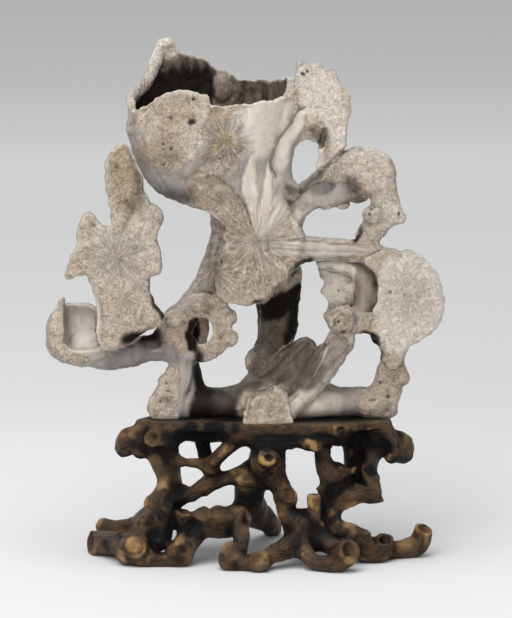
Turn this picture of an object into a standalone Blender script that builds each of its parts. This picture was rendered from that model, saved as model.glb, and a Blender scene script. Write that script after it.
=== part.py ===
"""Desk stone with a cup-shaped top and pierced limbs, on a carved root-wood stand.

Everything is laid out on a squared sheet that shows the front of the object, seen 10 degrees from
above. A point is (across, down, depth): squares from the left edge, squares from the top edge, and
squares away from the viewer. A limb's fourth number is its radius in squares. The stone is one
piece. The stand is split at its main forks: the seat, and the legs that grow out of it.
"""
import math

import bmesh
import bpy
from mathutils import Matrix, Vector

# Driving sizes, in metres
OVERALL_HEIGHT = 0.350
CUP_WALL = 0.0037
CUT_SWELL = 0.00039  # a neighbour is swollen by this before it is cut out, for a gap of about 0.3 mm
ROCK_VOXEL = 0.0013
WOOD_VOXEL = 0.0012

# The squared sheet
SHEET_TILT = math.radians(10.0)
SQUARES_HIGH = 515.0
SQUARE = OVERALL_HEIGHT / SQUARES_HIGH
FLOOR_ROW = 555.0
CENTRE_COLUMN = 245.5
CENTRE_DEPTH = 2.0
SEAT_TOP = 143.5  # squares above the floor
STONE_SINK = 2.5  # squares the stone sits down into the seat
TRIM_REACH = 400.0  # half size of the boxes that trim pieces flat
PLATE_ROUNDING = 0.3  # share of a plate's thickness
SMOOTHING_ROUNDS = 4
SHARP_ANGLE = math.radians(50.0)

# Triangles kept in each piece
TRIANGLES = {"rock": 4500, "stand_seat": 760, "stand_leg_left": 560, "stand_leg_left_rear": 200,
             "stand_leg_front": 800, "stand_leg_right_front": 540, "stand_leg_right": 480,
             "stand_leg_rear": 180, "stand_leg_right_rear": 240}

# The stone's limbs: flatness, then points (across, down, depth, radius)
STONE_LIMBS = {
    "stem": (0.9, [(232, 205, 2, 22), (226, 222, 2, 15), (219, 240, 1, 9), (210, 277, -2, 12),
                   (202, 293, -4, 13), (190, 308, -6, 13), (176, 322, -8, 13), (166, 336, -10, 12)]),
    "stem_edge": (0.9, [(238, 215, -2, 14), (226, 240, -2, 8), (218, 262, -2, 8), (211, 285, -4, 9),
                        (206, 300, -8, 10)]),
    "cup_root": (0.8, [(205, 185, -16, 16), (216, 200, -18, 16), (232, 214, -18, 15), (245, 228, -18, 14)]),
    "ring": (0.75, [(184, 318, -16, 12), (194, 306, -18, 12), (207, 305, -20, 12), (219, 313, -21, 10),
                    (222, 326, -22, 8), (221, 337, -22, 8), (212, 350, -22, 8), (198, 353, -21, 8),
                    (184, 346, -17, 9), (181, 332, -16, 10), (184, 318, -16, 11)]),
    "ring_post": (0.9, [(186, 345, -14, 10), (184, 358, -12, 10), (180, 372, -14, 12), (173, 388, -16, 13),
                        (168, 400, -18, 15), (164, 408, -20, 16)]),
    "column": (1.3, [(184, 350, -2, 10), (188, 365, 0, 10), (191, 382, 2, 11), (194, 400, 4, 15),
                     (200, 410, 4, 16)]),
    "scoop_arm": (1.0, [(182, 350, -10, 15), (165, 348, -12, 13), (146, 349, -14, 13), (125, 352, -16, 15),
                        (102, 352, -18, 16), (88, 346, -20, 17)]),
    "leaf_root": (0.9, [(112, 338, -42, 9), (114, 350, -24, 13)]),
    "dark_limb": (0.8, [(280, 275, 12, 22), (279, 300, 16, 20), (279, 322, 18, 18), (275, 342, 16, 17),
                        (266, 358, 12, 16), (263, 366, 10, 14), (262, 382, 6, 12)]),
    "dark_limb_root": (0.9, [(262, 230, 6, 20), (272, 255, 10, 20), (280, 285, 14, 19)]),
    "blade": (0.7, [(262, 402, -14, 15), (276, 388, -16, 14), (291, 368, -18, 14), (304, 351, -18, 13)]),
    "ridge": (0.8, [(284, 406, -34, 14), (302, 392, -36, 12), (318, 374, -36, 12), (331, 355, -34, 13),
                    (340, 340, -30, 14)]),
    "channel": (0.6, [(280, 400, -26, 12), (306, 372, -26, 11), (324, 352, -26, 8)]),
    "knob_band": (0.8, [(342, 322, -28, 14), (355, 322, -22, 12), (368, 323, -18, 11), (384, 324, -14, 12)]),
    "arm_cross": (0.8, [(285, 249, -18, 19), (300, 250, -18, 13), (320, 249, -16, 11), (340, 250, -14, 10),
                        (360, 251, -12, 10), (378, 256, -10, 10)]),
    "band": (1.6, [(322, 262, 8, 6), (340, 264, 8, 7), (356, 268, 8, 9), (367, 282, 8, 11),
                   (368, 297, 8, 11), (362, 312, 4, 10), (352, 322, -4, 10)]),
    "arm_up": (0.8, [(284, 214, -2, 17), (298, 203, -2, 15), (313, 194, -2, 15), (330, 187, -2, 20),
                     (346, 177, -3, 24), (361, 172, -4, 23), (373, 172, -4, 20)]),
    "arm_down": (0.8, [(376, 175, -4, 18), (382, 190, -4, 14), (385, 202, -4, 14), (384, 212, -4, 16),
                       (378, 222, -4, 12), (369, 235, -6, 11), (367, 247, -8, 11)]),
    "arm_toe": (0.7, [(384, 210, -4, 12), (395, 215, -5, 9), (400, 218, -5, 6)]),
    "foot_right": (0.9, [(392, 350, -8, 11), (392, 368, -8, 13), (390, 384, -8, 17), (384, 398, -8, 20),
                         (380, 406, -8, 20)]),
    "foot_right_knob": (0.8, [(390, 372, -10, 12), (400, 376, -12, 8)]),
    "plinth": (1.5, [(175, 406, -4, 13), (200, 404, -2, 14), (225, 402, -2, 14), (250, 401, -2, 18),
                     (280, 400, -6, 20), (310, 401, -8, 17), (345, 402, -6, 13), (375, 402, -6, 15)]),
    "sweep": (0.9, [(206, 400, 4, 10), (225, 400, 4, 9), (245, 395, 4, 10), (262, 384, 4, 11),
                    (278, 372, 2, 11)]),
    "front_foot": (0.8, [(264, 405, -36, 16), (272, 400, -36, 14), (286, 402, -36, 14)]),
    "base_right": (1.2, [(318, 396, -8, 16), (340, 402, -6, 13), (360, 400, -6, 13)]),
    "knot": (1.0, [(182, 320, -10, 12), (172, 327, -10, 11), (174, 342, -10, 12)]),
    "face_fill": (0.8, [(265, 190, -14, 20), (266, 207, -14, 20), (262, 232, -15, 18)]),
    "ear_web": (0.8, [(290, 80, -1, 5), (289, 100, -7, 7), (287, 130, -12, 9), (281, 158, -14, 11),
                      (277, 182, -12, 13)]),
    "rear_root": (0.9, [(250, 205, 20, 18), (262, 240, 26, 17), (272, 290, 32, 17), (274, 330, 34, 15),
                        (268, 360, 32, 14), (262, 392, 28, 16)]),
    "rear_plinth": (1.1, [(192, 403, 18, 12), (230, 405, 24, 12), (270, 401, 26, 15), (310, 401, 24, 14),
                          (350, 406, 18, 12)]),
    "band_root": (1.2, [(366, 290, 14, 11), (382, 296, 6, 13), (398, 300, 0, 14)]),
}

# The stone's plates: depth, slope across, slope up, thickness, outline (across, down)
STONE_PLATES = {
    "ear": (-4, -0.10, 0.12, 15, [(287, 120), (288, 92), (293, 74), (300, 62), (314, 65), (330, 73),
                                  (341, 85), (348, 102), (349, 120), (347, 138), (341, 153), (330, 161),
                                  (318, 169), (318, 156), (318, 145), (308, 139), (298, 143),
                                  (289, 155), (283, 160)]),
    "star": (-20, 0.05, 0.16, 26, [(238, 210), (226, 226), (222, 250), (219, 272), (223, 290), (238, 300),
                                   (256, 303), (272, 297), (288, 286), (298, 272), (301, 255), (298, 235),
                                   (290, 215), (280, 205), (258, 202)]),
    "leaf": (-44, 0.10, 0.03, 13, [(118, 147), (127, 146), (136, 162), (144, 180), (147, 204), (157, 208),
                                   (163, 220), (157, 238), (162, 258), (159, 271), (149, 279), (152, 296),
                                   (163, 314), (160, 323), (148, 331), (136, 338), (122, 347), (106, 348),
                                   (98, 334), (98, 305), (92, 283), (84, 275), (66, 283), (67, 269),
                                   (77, 248), (84, 220), (92, 215), (105, 228), (114, 222), (110, 195),
                                   (108, 164)]),
    "disc": (-14, 0.16, 0.05, 16, [(365, 260), (380, 252), (397, 249), (414, 253), (430, 266), (440, 280),
                                   (443, 298), (440, 320), (430, 335), (410, 345), (402, 358), (396, 367),
                                   (386, 363), (378, 346), (371, 334), (372, 318), (378, 298), (376, 276)]),
    "back_plate": (22, -0.1, 0.0, 12, [(321, 262), (320, 275), (323, 282), (321, 291), (328, 303),
                                       (326, 315), (331, 328), (345, 336), (360, 325), (364, 300),
                                       (364, 280), (352, 262), (338, 256)]),
}

# The stone's round lumps: centre, then half sizes across, deep and high
STONE_LUMPS = {
    "boss": ((206, 192, -22), (18, 16, 18)),
    "knob": ((342, 321, -32), (14, 12, 14)),
    "disc_boss": ((408, 300, -2), (26, 14, 32)),
    "leaf_boss": ((126, 268, -36), (22, 12, 48)),
    "ear_boss": ((320, 108, 4), (20, 12, 30)),
    "cup_back_lobe": ((252, 158, 36), (32, 14, 40)),
}

# The cup, row by row: down, left, right, half depth, centre depth
CUP_SECTIONS = [(225, 232, 292, 18, -8), (214, 222, 292, 22, -6), (206, 200, 291, 24, -5),
                (199, 176, 290, 26, -3), (192, 160, 288, 30, -2), (182, 149, 286, 34, -1),
                (168, 139, 284, 39, 0), (150, 131, 286, 43, 0), (130, 127, 288, 46, 1),
                (105, 129, 291, 48, 2), (85, 130, 292, 49, 2), (60, 130, 294, 50, 2),
                (30, 131, 296, 50, 2)]
CUP_FLOOR_ROW = 172.0
CUP_OVERLAP = 4.0  # squares the wall starts below its floor
CUP_BULGE = (-125.0, 40.0, 150.0, 34.0, 7.0)  # direction, spread, row, spread, squares outward
# The cup's broken rim: direction in degrees (0 right, -90 front, 90 back), row of the rim
CUP_RIM = [(-180, 101), (-168, 107), (-155, 110), (-145, 104), (-135, 98), (-125, 91), (-112, 86),
           (-100, 88), (-93, 92), (-88, 100), (-60, 99), (-45, 98), (-30, 97), (-20, 95), (-10, 90),
           (0, 86), (10, 80), (16, 83), (37, 87), (67, 87), (75, 84), (81, 79), (87, 78), (92, 72),
           (98, 66), (104, 64), (112, 64), (119, 58), (124, 49), (129, 50), (134, 66), (140, 78),
           (146, 87), (160, 95), (170, 99), (180, 101)]
CUP_DIRECTIONS = 72
CUP_LEVELS = 14

# The scoop at the left end: bowl and the hollow in it, each a centre and half sizes
SCOOP_BOWL = ((78, 334, -20), (31, 26, 31))
SCOOP_HOLLOW = ((84, 320, -46), (21, 30, 26))

# The seat of the stand: plan outline (x, y) in squares about the sheet's column 244, and thickness
SEAT_COLUMN = 244.0
SEAT_OUTLINE = [(-107, -32), (-90, -44), (-60, -50), (-20, -56), (30, -58), (70, -56), (110, -50),
                (140, -40), (148, -28), (141, -10), (136, 14), (122, 38), (100, 48), (60, 54), (10, 54),
                (-40, 52), (-70, 42), (-88, 22), (-94, -4), (-100, -18)]
SEAT_THICKNESS = 17.0
SEAT_ROUNDING = 4.0
SEAT_SPARE = 1.0  # squares of slab above the seat's top, trimmed off

# The stand's limbs, piece by piece: points (across, down, depth, radius)
STAND_LIMBS = {
    "stand_seat": {
        "ear_left": [(165, 434, -26, 15), (142, 437, -26, 14), (129, 440, -26, 12)],
        "ear_left_knob": [(142, 442, -30, 10), (140, 453, -34, 6)],
        "ear_left_tip": [(130, 440, -24, 10), (124, 447, -22, 7)],
        "ear_right": [(374, 432, -16, 14), (390, 439, -18, 12), (402, 449, -20, 14)],
        "ear_right_tip": [(400, 442, -18, 8), (410, 445, -18, 6)],
        "front_knob": [(300, 432, -42, 9), (308, 443, -50, 7), (316, 445, -50, 5)],
        "hollow_knob": [(336, 428, -46, 9), (340, 430, -56, 8)],
        "ring_knob_left": [(160, 438, -40, 11), (154, 438, -48, 8)],
        "apron_left": [(170, 432, -36, 10), (190, 430, -42, 9), (215, 427, -46, 8), (236, 433, -46, 9)],
        "apron_middle": [(236, 433, -46, 9), (252, 435, -46, 10), (268, 438, -44, 13), (288, 437, -44, 12),
                         (306, 436, -42, 12), (322, 434, -42, 10), (338, 433, -40, 10)],
        "apron_right": [(338, 433, -40, 10), (356, 432, -34, 12), (376, 434, -26, 13)],
    },
    "stand_leg_left": {
        "leg": [(162, 438, -30, 18), (161, 450, -32, 15), (163, 462, -34, 13), (169, 476, -36, 12),
                (168, 490, -38, 12), (165, 505, -40, 15), (163, 520, -42, 17), (160, 536, -48, 16)],
        "thorn": [(162, 505, -40, 8), (152, 503, -40, 5), (146, 503, -40, 2)],
        "hump": [(160, 522, -44, 12), (149, 522, -50, 12), (143, 532, -54, 11), (136, 545, -56, 14)],
        "toe_front": [(130, 552, -54, 14), (142, 553, -58, 14), (155, 556, -60, 11), (170, 556, -60, 10),
                      (182, 556, -60, 11)],
        "toe_side": [(132, 549, -48, 13), (118, 544, -30, 11), (106, 544, -10, 12), (96, 545, -2, 12)],
        "stub": [(178, 545, -58, 10), (182, 530, -56, 10), (184, 516, -54, 8)],
    },
    "stand_leg_left_rear": {
        "leg": [(165, 428, 25, 13), (164, 446, 25, 12), (168, 470, 22, 11), (170, 486, 16, 11),
                (162, 500, 20, 11), (150, 514, 40, 10), (136, 527, 66, 9), (118, 531, 82, 9),
                (104, 531, 90, 10)],
    },
    "stand_leg_front": {
        "vine": [(250, 434, -44, 9), (240, 438, -44, 7), (230, 446, -42, 7), (218, 457, -40, 7),
                 (210, 468, -36, 7)],
        "bridge": [(172, 454, -34, 5), (184, 462, -36, 4), (200, 463, -36, 4), (214, 468, -34, 5)],
        "inner_leg": [(200, 430, 0, 10), (203, 445, 0, 8), (206, 458, -6, 8), (212, 470, -14, 8)],
        "cross_limb": [(168, 500, -38, 9), (180, 493, -36, 8), (192, 490, -34, 7), (205, 481, -32, 11),
                       (220, 477, -30, 8), (236, 474, -30, 8), (252, 476, -32, 12), (270, 474, -36, 15)],
        "trunk": [(254, 476, -26, 15), (250, 490, -22, 16), (247, 503, -20, 14), (238, 517, -22, 12),
                  (226, 525, -28, 11)],
        "arch": [(236, 520, -30, 12), (220, 526, -40, 11), (206, 526, -46, 11), (196, 536, -52, 9),
                 (190, 544, -56, 8)],
        "knob_wide": [(206, 524, -46, 9), (203, 517, -46, 8)],
        "knob_small": [(216, 520, -42, 6), (218, 511, -42, 4)],
        "post": [(238, 518, -36, 10), (241, 532, -50, 8), (241, 546, -60, 8), (236, 556, -72, 9)],
        "toe": [(231, 550, -72, 10), (231, 559, -78, 11), (244, 562, -82, 8), (259, 561, -84, 11)],
        "ring_knob": [(268, 438, -40, 12), (268, 450, -44, 14), (268, 462, -48, 14), (268, 458, -58, 12)],
        "golden_limb": [(270, 462, -44, 16), (275, 476, -44, 12), (282, 488, -44, 9), (286, 500, -46, 9),
                        (286, 512, -48, 9), (294, 522, -52, 9)],
        "golden_knob": [(284, 496, -46, 8), (290, 496, -50, 6)],
    },
    "stand_leg_right_front": {
        "leg": [(323, 438, -20, 11), (322, 454, -20, 7), (326, 470, -22, 11), (334, 481, -24, 13),
                (328, 497, -26, 10), (326, 514, -32, 9), (320, 530, -44, 12), (306, 545, -56, 10)],
        "trunk": [(300, 524, -50, 13), (296, 538, -58, 13), (284, 549, -68, 11), (272, 553, -76, 8)],
        "link": [(300, 526, -52, 11), (316, 534, -50, 11), (332, 545, -60, 9), (346, 546, -56, 8)],
        "prong": [(312, 526, -50, 7), (315, 512, -52, 6), (314, 499, -52, 6)],
        "lobe": [(312, 525, -46, 8), (304, 518, -46, 8)],
        "toe": [(302, 548, -66, 9), (312, 560, -80, 7), (326, 563, -86, 9), (338, 560, -88, 11),
                (346, 552, -88, 12)],
    },
    "stand_leg_right": {
        "leg": [(358, 438, -6, 16), (357, 452, -4, 13), (357, 470, -6, 12), (358, 484, -12, 10),
                (350, 492, -22, 9)],
        "outer_leg": [(382, 440, -20, 11), (376, 450, -22, 9), (370, 462, -24, 8), (369, 476, -26, 8),
                      (372, 490, -28, 8), (356, 493, -32, 8), (344, 498, -34, 8)],
        "curl": [(356, 493, -32, 8), (342, 498, -34, 8), (333, 510, -36, 8), (333, 523, -40, 9),
                 (344, 532, -44, 9), (358, 540, -46, 10), (372, 549, -40, 11)],
        "thorn": [(372, 497, -30, 5), (383, 501, -30, 2)],
        "toe_near": [(366, 552, -40, 11), (377, 552, -38, 12), (384, 543, -38, 8)],
        "toe_far": [(376, 551, -30, 10), (392, 551, -22, 9), (408, 550, -16, 10), (420, 544, -14, 10),
                    (423, 536, -14, 9)],
    },
    "stand_leg_rear": {
        "leg": [(271, 427, 40, 13), (271, 446, 38, 12), (267, 474, 36, 13), (257, 494, 42, 19),
                (259, 512, 58, 18), (268, 524, 84, 12), (272, 531, 95, 10)],
    },
    "stand_leg_right_rear": {
        "leg": [(358, 428, 30, 13), (356, 456, 30, 11), (352, 482, 30, 10), (334, 500, 36, 10),
                (328, 518, 48, 10), (338, 533, 68, 10), (354, 535, 80, 9)],
    },
}

# Each piece of the stand, and the earlier pieces that it is cut back from
NEIGHBOURS = {
    "stand_seat": ["rock"],
    "stand_leg_left": ["stand_seat"],
    "stand_leg_left_rear": ["stand_seat", "stand_leg_left"],
    "stand_leg_front": ["stand_seat", "stand_leg_left", "stand_leg_left_rear"],
    "stand_leg_right_front": ["stand_seat", "stand_leg_front"],
    "stand_leg_right": ["stand_seat", "stand_leg_right_front"],
    "stand_leg_rear": ["stand_seat", "stand_leg_front"],
    "stand_leg_right_rear": ["stand_seat", "stand_leg_right_front", "stand_leg_right", "stand_leg_rear"],
}


def sheet_point(across, down, depth):
    """Place of a sheet point in metres: x right, y away from the viewer, z up from the floor."""
    up = (FLOOR_ROW - down - depth * math.sin(SHEET_TILT)) / math.cos(SHEET_TILT)
    return Vector((across - CENTRE_COLUMN, depth - CENTRE_DEPTH, up)) * SQUARE


def add_object_shape(shape, obj, matrix=Matrix()):
    """Copy an object's evaluated faces into a shape and remove the object."""
    bpy.context.view_layer.update()
    evaluated = obj.evaluated_get(bpy.context.evaluated_depsgraph_get())
    mesh = bpy.data.meshes.new_from_object(evaluated)
    mesh.transform(matrix @ obj.matrix_world)
    shape.from_mesh(mesh)
    bpy.data.meshes.remove(mesh)
    bpy.data.objects.remove(obj)


def add_ball(shape, centre, half_sizes, subdivisions=3):
    """Ellipsoid about a centre in metres, half sizes in squares."""
    scale = Matrix.Diagonal((*[size * SQUARE for size in half_sizes], 1.0))
    bmesh.ops.create_icosphere(shape, subdivisions=subdivisions, radius=1.0,
                               matrix=Matrix.Translation(centre) @ scale)


def add_limb(shape, points, flatness=1.0):
    """Round limb along a smooth path. Flatness below 1 squeezes it from front to back."""
    curve = bpy.data.curves.new("limb", "CURVE")
    curve.dimensions = "3D"
    curve.bevel_depth = SQUARE
    curve.bevel_resolution = 3
    curve.resolution_u = 5
    curve.use_fill_caps = True
    spline = curve.splines.new("BEZIER")
    spline.bezier_points.add(len(points) - 1)
    spline.radius_interpolation = "CARDINAL"
    for knot, (across, down, depth, radius) in zip(spline.bezier_points, points):
        place = sheet_point(across, down, depth)
        knot.co = (place.x, place.y / flatness, place.z)
        knot.handle_left_type = knot.handle_right_type = "AUTO"
        knot.radius = radius
    limb = bpy.data.objects.new("limb", curve)
    bpy.context.scene.collection.objects.link(limb)
    add_object_shape(shape, limb, Matrix.Diagonal((1.0, flatness, 1.0, 1.0)))
    for across, down, depth, radius in (points[0], points[-1]):
        add_ball(shape, sheet_point(across, down, depth), (radius, radius * flatness, radius), 2)


def flat_outline(points, thickness, rounding):
    """Filled outline with rounded edges: a smooth closed 2D curve, extruded both ways."""
    curve = bpy.data.curves.new("plate", "CURVE")
    curve.dimensions = "2D"
    curve.fill_mode = "BOTH"
    curve.extrude = (thickness / 2 - rounding) * SQUARE
    curve.bevel_depth = rounding * SQUARE
    curve.offset = -rounding * SQUARE
    curve.bevel_resolution = 2
    curve.resolution_u = 4
    spline = curve.splines.new("BEZIER")
    spline.bezier_points.add(len(points) - 1)
    spline.use_cyclic_u = True
    for knot, (x, y) in zip(spline.bezier_points, points):
        knot.co = (x * SQUARE, y * SQUARE, 0.0)
        knot.handle_left_type = knot.handle_right_type = "AUTO"
    plate = bpy.data.objects.new("plate", curve)
    bpy.context.scene.collection.objects.link(plate)
    return plate


def add_plate(shape, depth, slope_across, slope_up, thickness, outline):
    """Standing plate: its middle surface lies at a depth that changes with two slopes."""
    middle_across = sum(point[0] for point in outline) / len(outline)
    middle_down = sum(point[1] for point in outline) / len(outline)
    middle = sheet_point(middle_across, middle_down, depth)
    local = []
    for across, down in outline:
        near = depth + slope_across * (across - middle_across) - slope_up * (down - middle_down)
        place = (sheet_point(across, down, near) - middle) / SQUARE
        local.append((place.x, place.z))
    stand_up = Matrix(((1, 0, 0, 0), (0, 0, -1, 0), (0, 1, 0, 0), (0, 0, 0, 1)))
    slope = Matrix.Identity(4)
    slope[1][0] = slope_across
    slope[1][2] = slope_up
    plate = flat_outline(local, thickness, thickness * PLATE_ROUNDING)
    add_object_shape(shape, plate, Matrix.Translation(middle) @ slope @ stand_up)


def interpolate(value, table):
    """Straight-line reading of a table of (place, reading, ...) rows, first column increasing."""
    if value <= table[0][0]:
        return table[0][1:]
    for low, high in zip(table, table[1:]):
        if value <= high[0]:
            share = (value - low[0]) / (high[0] - low[0])
            return [a + (b - a) * share for a, b in zip(low[1:], high[1:])]
    return table[-1][1:]


def cup_point(row, direction):
    """Point on the cup's wall: an oval section at a row of the sheet, in one direction."""
    left, right, half_depth, middle_depth = interpolate(row, CUP_SECTIONS[::-1])
    toward, spread, bulge_row, row_spread, outward = CUP_BULGE
    turn = (math.degrees(direction) - toward) / spread
    bulge = outward * math.exp(-turn**2 - ((row - bulge_row) / row_spread) ** 2)
    across = (left + right) / 2 + (right - left) / 2 * math.cos(direction)
    depth = middle_depth + (half_depth + bulge) * math.sin(direction)
    up = (FLOOR_ROW - row) / math.cos(SHEET_TILT)
    return Vector((across - CENTRE_COLUMN, depth - CENTRE_DEPTH, up)) * SQUARE


def loft(shape, rings):
    """Skin a stack of closed rings, each with the same number of points. Returns their vertices."""
    stack = [[shape.verts.new(point) for point in ring] for ring in rings]
    for lower, upper in zip(stack, stack[1:]):
        for i in range(len(lower)):
            j = (i + 1) % len(lower)
            shape.faces.new((lower[i], lower[j], upper[j], upper[i]))
    return stack


def add_cup(shape):
    """Cup with a broken rim: a solid root, and a thin wall that rises from it to the rim."""
    directions = [2 * math.pi * i / CUP_DIRECTIONS - math.pi for i in range(CUP_DIRECTIONS)]
    root_rows = [row[0] for row in CUP_SECTIONS if row[0] > CUP_FLOOR_ROW] + [CUP_FLOOR_ROW]
    root = loft(shape, [[cup_point(row, a) for a in directions] for row in root_rows])
    shape.faces.new(root[0][::-1])
    shape.faces.new(root[-1])
    rims = [interpolate(math.degrees(a), CUP_RIM)[0] for a in directions]
    wall = bmesh.new()
    rings = []
    lowest = CUP_FLOOR_ROW + CUP_OVERLAP
    for level in range(CUP_LEVELS + 1):
        share = level / CUP_LEVELS
        rings.append([cup_point(lowest + (rim - lowest) * share, a) for a, rim in zip(directions, rims)])
    loft(wall, rings)
    mesh = bpy.data.meshes.new("cup_wall")
    wall.to_mesh(mesh)
    wall.free()
    cup = bpy.data.objects.new("cup_wall", mesh)
    bpy.context.scene.collection.objects.link(cup)
    shell = cup.modifiers.new("wall", "SOLIDIFY")
    shell.thickness = CUP_WALL
    shell.offset = -1.0
    add_object_shape(shape, cup)


def add_scoop(shape):
    """Hollowed bowl at the end of the left arm: one ellipsoid with another taken out of it."""
    pieces = []
    for centre, half_sizes in (SCOOP_BOWL, SCOOP_HOLLOW):
        ball = bmesh.new()
        add_ball(ball, sheet_point(*centre), half_sizes, 4)
        pieces.append(object_from_shape(ball, "scoop", bpy.context.scene.collection))
    bowl, hollow = pieces
    cut = bowl.modifiers.new("hollow", "BOOLEAN")
    cut.operation = "DIFFERENCE"
    cut.object = hollow
    add_object_shape(shape, bowl)
    bpy.data.objects.remove(hollow)


def object_from_shape(shape, name, collection):
    """Make an object that holds a shape's faces, and free the shape."""
    mesh = bpy.data.meshes.new(name)
    shape.to_mesh(mesh)
    shape.free()
    obj = bpy.data.objects.new(name, mesh)
    collection.objects.link(obj)
    return obj


def apply_modifiers(obj):
    """Replace an object's mesh by its evaluated one."""
    bpy.context.view_layer.update()
    evaluated = obj.evaluated_get(bpy.context.evaluated_depsgraph_get())
    mesh = bpy.data.meshes.new_from_object(evaluated)
    obj.modifiers.clear()
    obj.data = mesh


def fuse(obj, voxel):
    """Melt overlapping shapes into one closed skin and soften the joins."""
    remesh = obj.modifiers.new("fuse", "REMESH")
    remesh.mode = "VOXEL"
    remesh.voxel_size = voxel
    smooth = obj.modifiers.new("soften", "SMOOTH")
    smooth.factor = 0.5
    smooth.iterations = SMOOTHING_ROUNDS
    apply_modifiers(obj)


def thin_out(obj, triangles):
    """Decimate a mesh to about this many triangles."""
    obj.data.calc_loop_triangles()
    decimate = obj.modifiers.new("thin", "DECIMATE")
    decimate.ratio = min(1.0, triangles / len(obj.data.loop_triangles))
    apply_modifiers(obj)


def keep_largest_body(obj):
    """Remove crumbs: keep only the largest connected body of a mesh."""
    shape = bmesh.new()
    shape.from_mesh(obj.data)
    unseen = set(shape.verts)
    bodies = []
    while unseen:
        start = unseen.pop()
        body, edge_of_search = {start}, [start]
        while edge_of_search:
            for edge in edge_of_search.pop().link_edges:
                for vertex in edge.verts:
                    if vertex in unseen:
                        unseen.discard(vertex)
                        body.add(vertex)
                        edge_of_search.append(vertex)
        bodies.append(body)
    largest = max(bodies, key=len)
    crumbs = [vertex for vertex in shape.verts if vertex not in largest]
    bmesh.ops.delete(shape, geom=crumbs, context="VERTS")
    shape.to_mesh(obj.data)
    shape.free()


def swollen_copy(obj, cutters):
    """Hidden copy of a piece, pushed out by the fit gap, to cut its neighbours with."""
    copy = bpy.data.objects.new(obj.name + "_clearance", obj.data.copy())
    cutters.objects.link(copy)
    swell = copy.modifiers.new("gap", "DISPLACE")
    swell.strength = CUT_SWELL
    swell.mid_level = 0.0
    copy.hide_render = True
    copy.display_type = "WIRE"
    return copy


def box_cutter(name, low, high, cutters):
    """Hidden box between two corners, in metres."""
    shape = bmesh.new()
    middle = (Vector(low) + Vector(high)) / 2
    size = Vector(high) - Vector(low)
    bmesh.ops.create_cube(shape, size=1.0, matrix=Matrix.Translation(middle) @ Matrix.Diagonal((*size, 1.0)))
    box = object_from_shape(shape, name, cutters)
    box.hide_render = True
    box.display_type = "WIRE"
    return box


def cut_with(obj, cutter_objects):
    """Take each cutter out of a piece, one after another, and keep its main body."""
    for cutter in cutter_objects:
        cut = obj.modifiers.new("cut", "BOOLEAN")
        cut.operation = "DIFFERENCE"
        cut.object = cutter
        cut.use_self = True
    apply_modifiers(obj)
    keep_largest_body(obj)


def set_finish(obj, material):
    """Give a piece its material and smooth shading with crisp cut edges."""
    obj.data.materials.clear()
    obj.data.materials.append(material)
    obj.data.shade_smooth()
    obj.data.set_sharp_from_angle(angle=SHARP_ANGLE)


def make_material(name, colour, roughness):
    """Plain dielectric material."""
    material = bpy.data.materials.new(name)
    material.use_nodes = True
    shader = material.node_tree.nodes["Principled BSDF"]
    shader.inputs["Base Color"].default_value = (*colour, 1.0)
    shader.inputs["Roughness"].default_value = roughness
    shader.inputs["Metallic"].default_value = 0.0
    return material


def make_stone(collection, under_stone):
    """The stone: cup, plates, limbs, scoop and lumps fused into one body, flat underneath."""
    shape = bmesh.new()
    for flatness, points in STONE_LIMBS.values():
        add_limb(shape, points, flatness)
    for plate in STONE_PLATES.values():
        add_plate(shape, *plate)
    for centre, half_sizes in STONE_LUMPS.values():
        add_ball(shape, sheet_point(*centre), half_sizes)
    add_cup(shape)
    add_scoop(shape)
    stone = object_from_shape(shape, "rock", collection)
    fuse(stone, ROCK_VOXEL)
    thin_out(stone, TRIANGLES["rock"])
    cut_with(stone, [under_stone])
    return stone


def make_stand_piece(name, collection):
    """One piece of the stand before it is cut: its limbs fused, and the slab of the seat."""
    shape = bmesh.new()
    for points in STAND_LIMBS[name].values():
        add_limb(shape, points)
    if name == "stand_seat":
        local = [(x + SEAT_COLUMN - CENTRE_COLUMN, y - CENTRE_DEPTH) for x, y in SEAT_OUTLINE]
        slab = flat_outline(local, SEAT_THICKNESS, SEAT_ROUNDING)
        middle = Vector((0.0, 0.0, (SEAT_TOP - SEAT_THICKNESS / 2 + SEAT_SPARE) * SQUARE))
        add_object_shape(shape, slab, Matrix.Translation(middle))
    piece = object_from_shape(shape, name, collection)
    fuse(piece, WOOD_VOXEL)
    thin_out(piece, TRIANGLES[name])
    return piece


def main():
    for old in list(bpy.data.objects):
        bpy.data.objects.remove(old)
    parts = bpy.data.collections.new("scholars_rock")
    cutters = bpy.data.collections.new("cutters")
    bpy.context.scene.collection.children.link(parts)
    bpy.context.scene.collection.children.link(cutters)
    stone_skin = make_material("grey_buff_stone", (0.42, 0.36, 0.30), 0.85)
    dark_wood = make_material("dark_root_wood", (0.05, 0.028, 0.016), 0.45)

    reach = TRIM_REACH * SQUARE
    seat_top = SEAT_TOP * SQUARE
    stone_bottom = (SEAT_TOP - STONE_SINK) * SQUARE
    under_stone = box_cutter("under_stone", (-reach, -reach, -reach), (reach, reach, stone_bottom), cutters)
    under_floor = box_cutter("under_floor", (-reach, -reach, -reach), (reach, reach, 0.0), cutters)
    over_seat = box_cutter("over_seat", (-reach, -reach, seat_top), (reach, reach, reach), cutters)

    stone = make_stone(parts, under_stone)
    set_finish(stone, stone_skin)
    clearances = {"rock": swollen_copy(stone, cutters)}
    for name, neighbours in NEIGHBOURS.items():
        piece = make_stand_piece(name, parts)
        clearances[name] = swollen_copy(piece, cutters)
        trim = over_seat if name == "stand_seat" else under_floor
        cut_with(piece, [trim, *[clearances[neighbour] for neighbour in neighbours]])
        set_finish(piece, dark_wood)


main()
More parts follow.
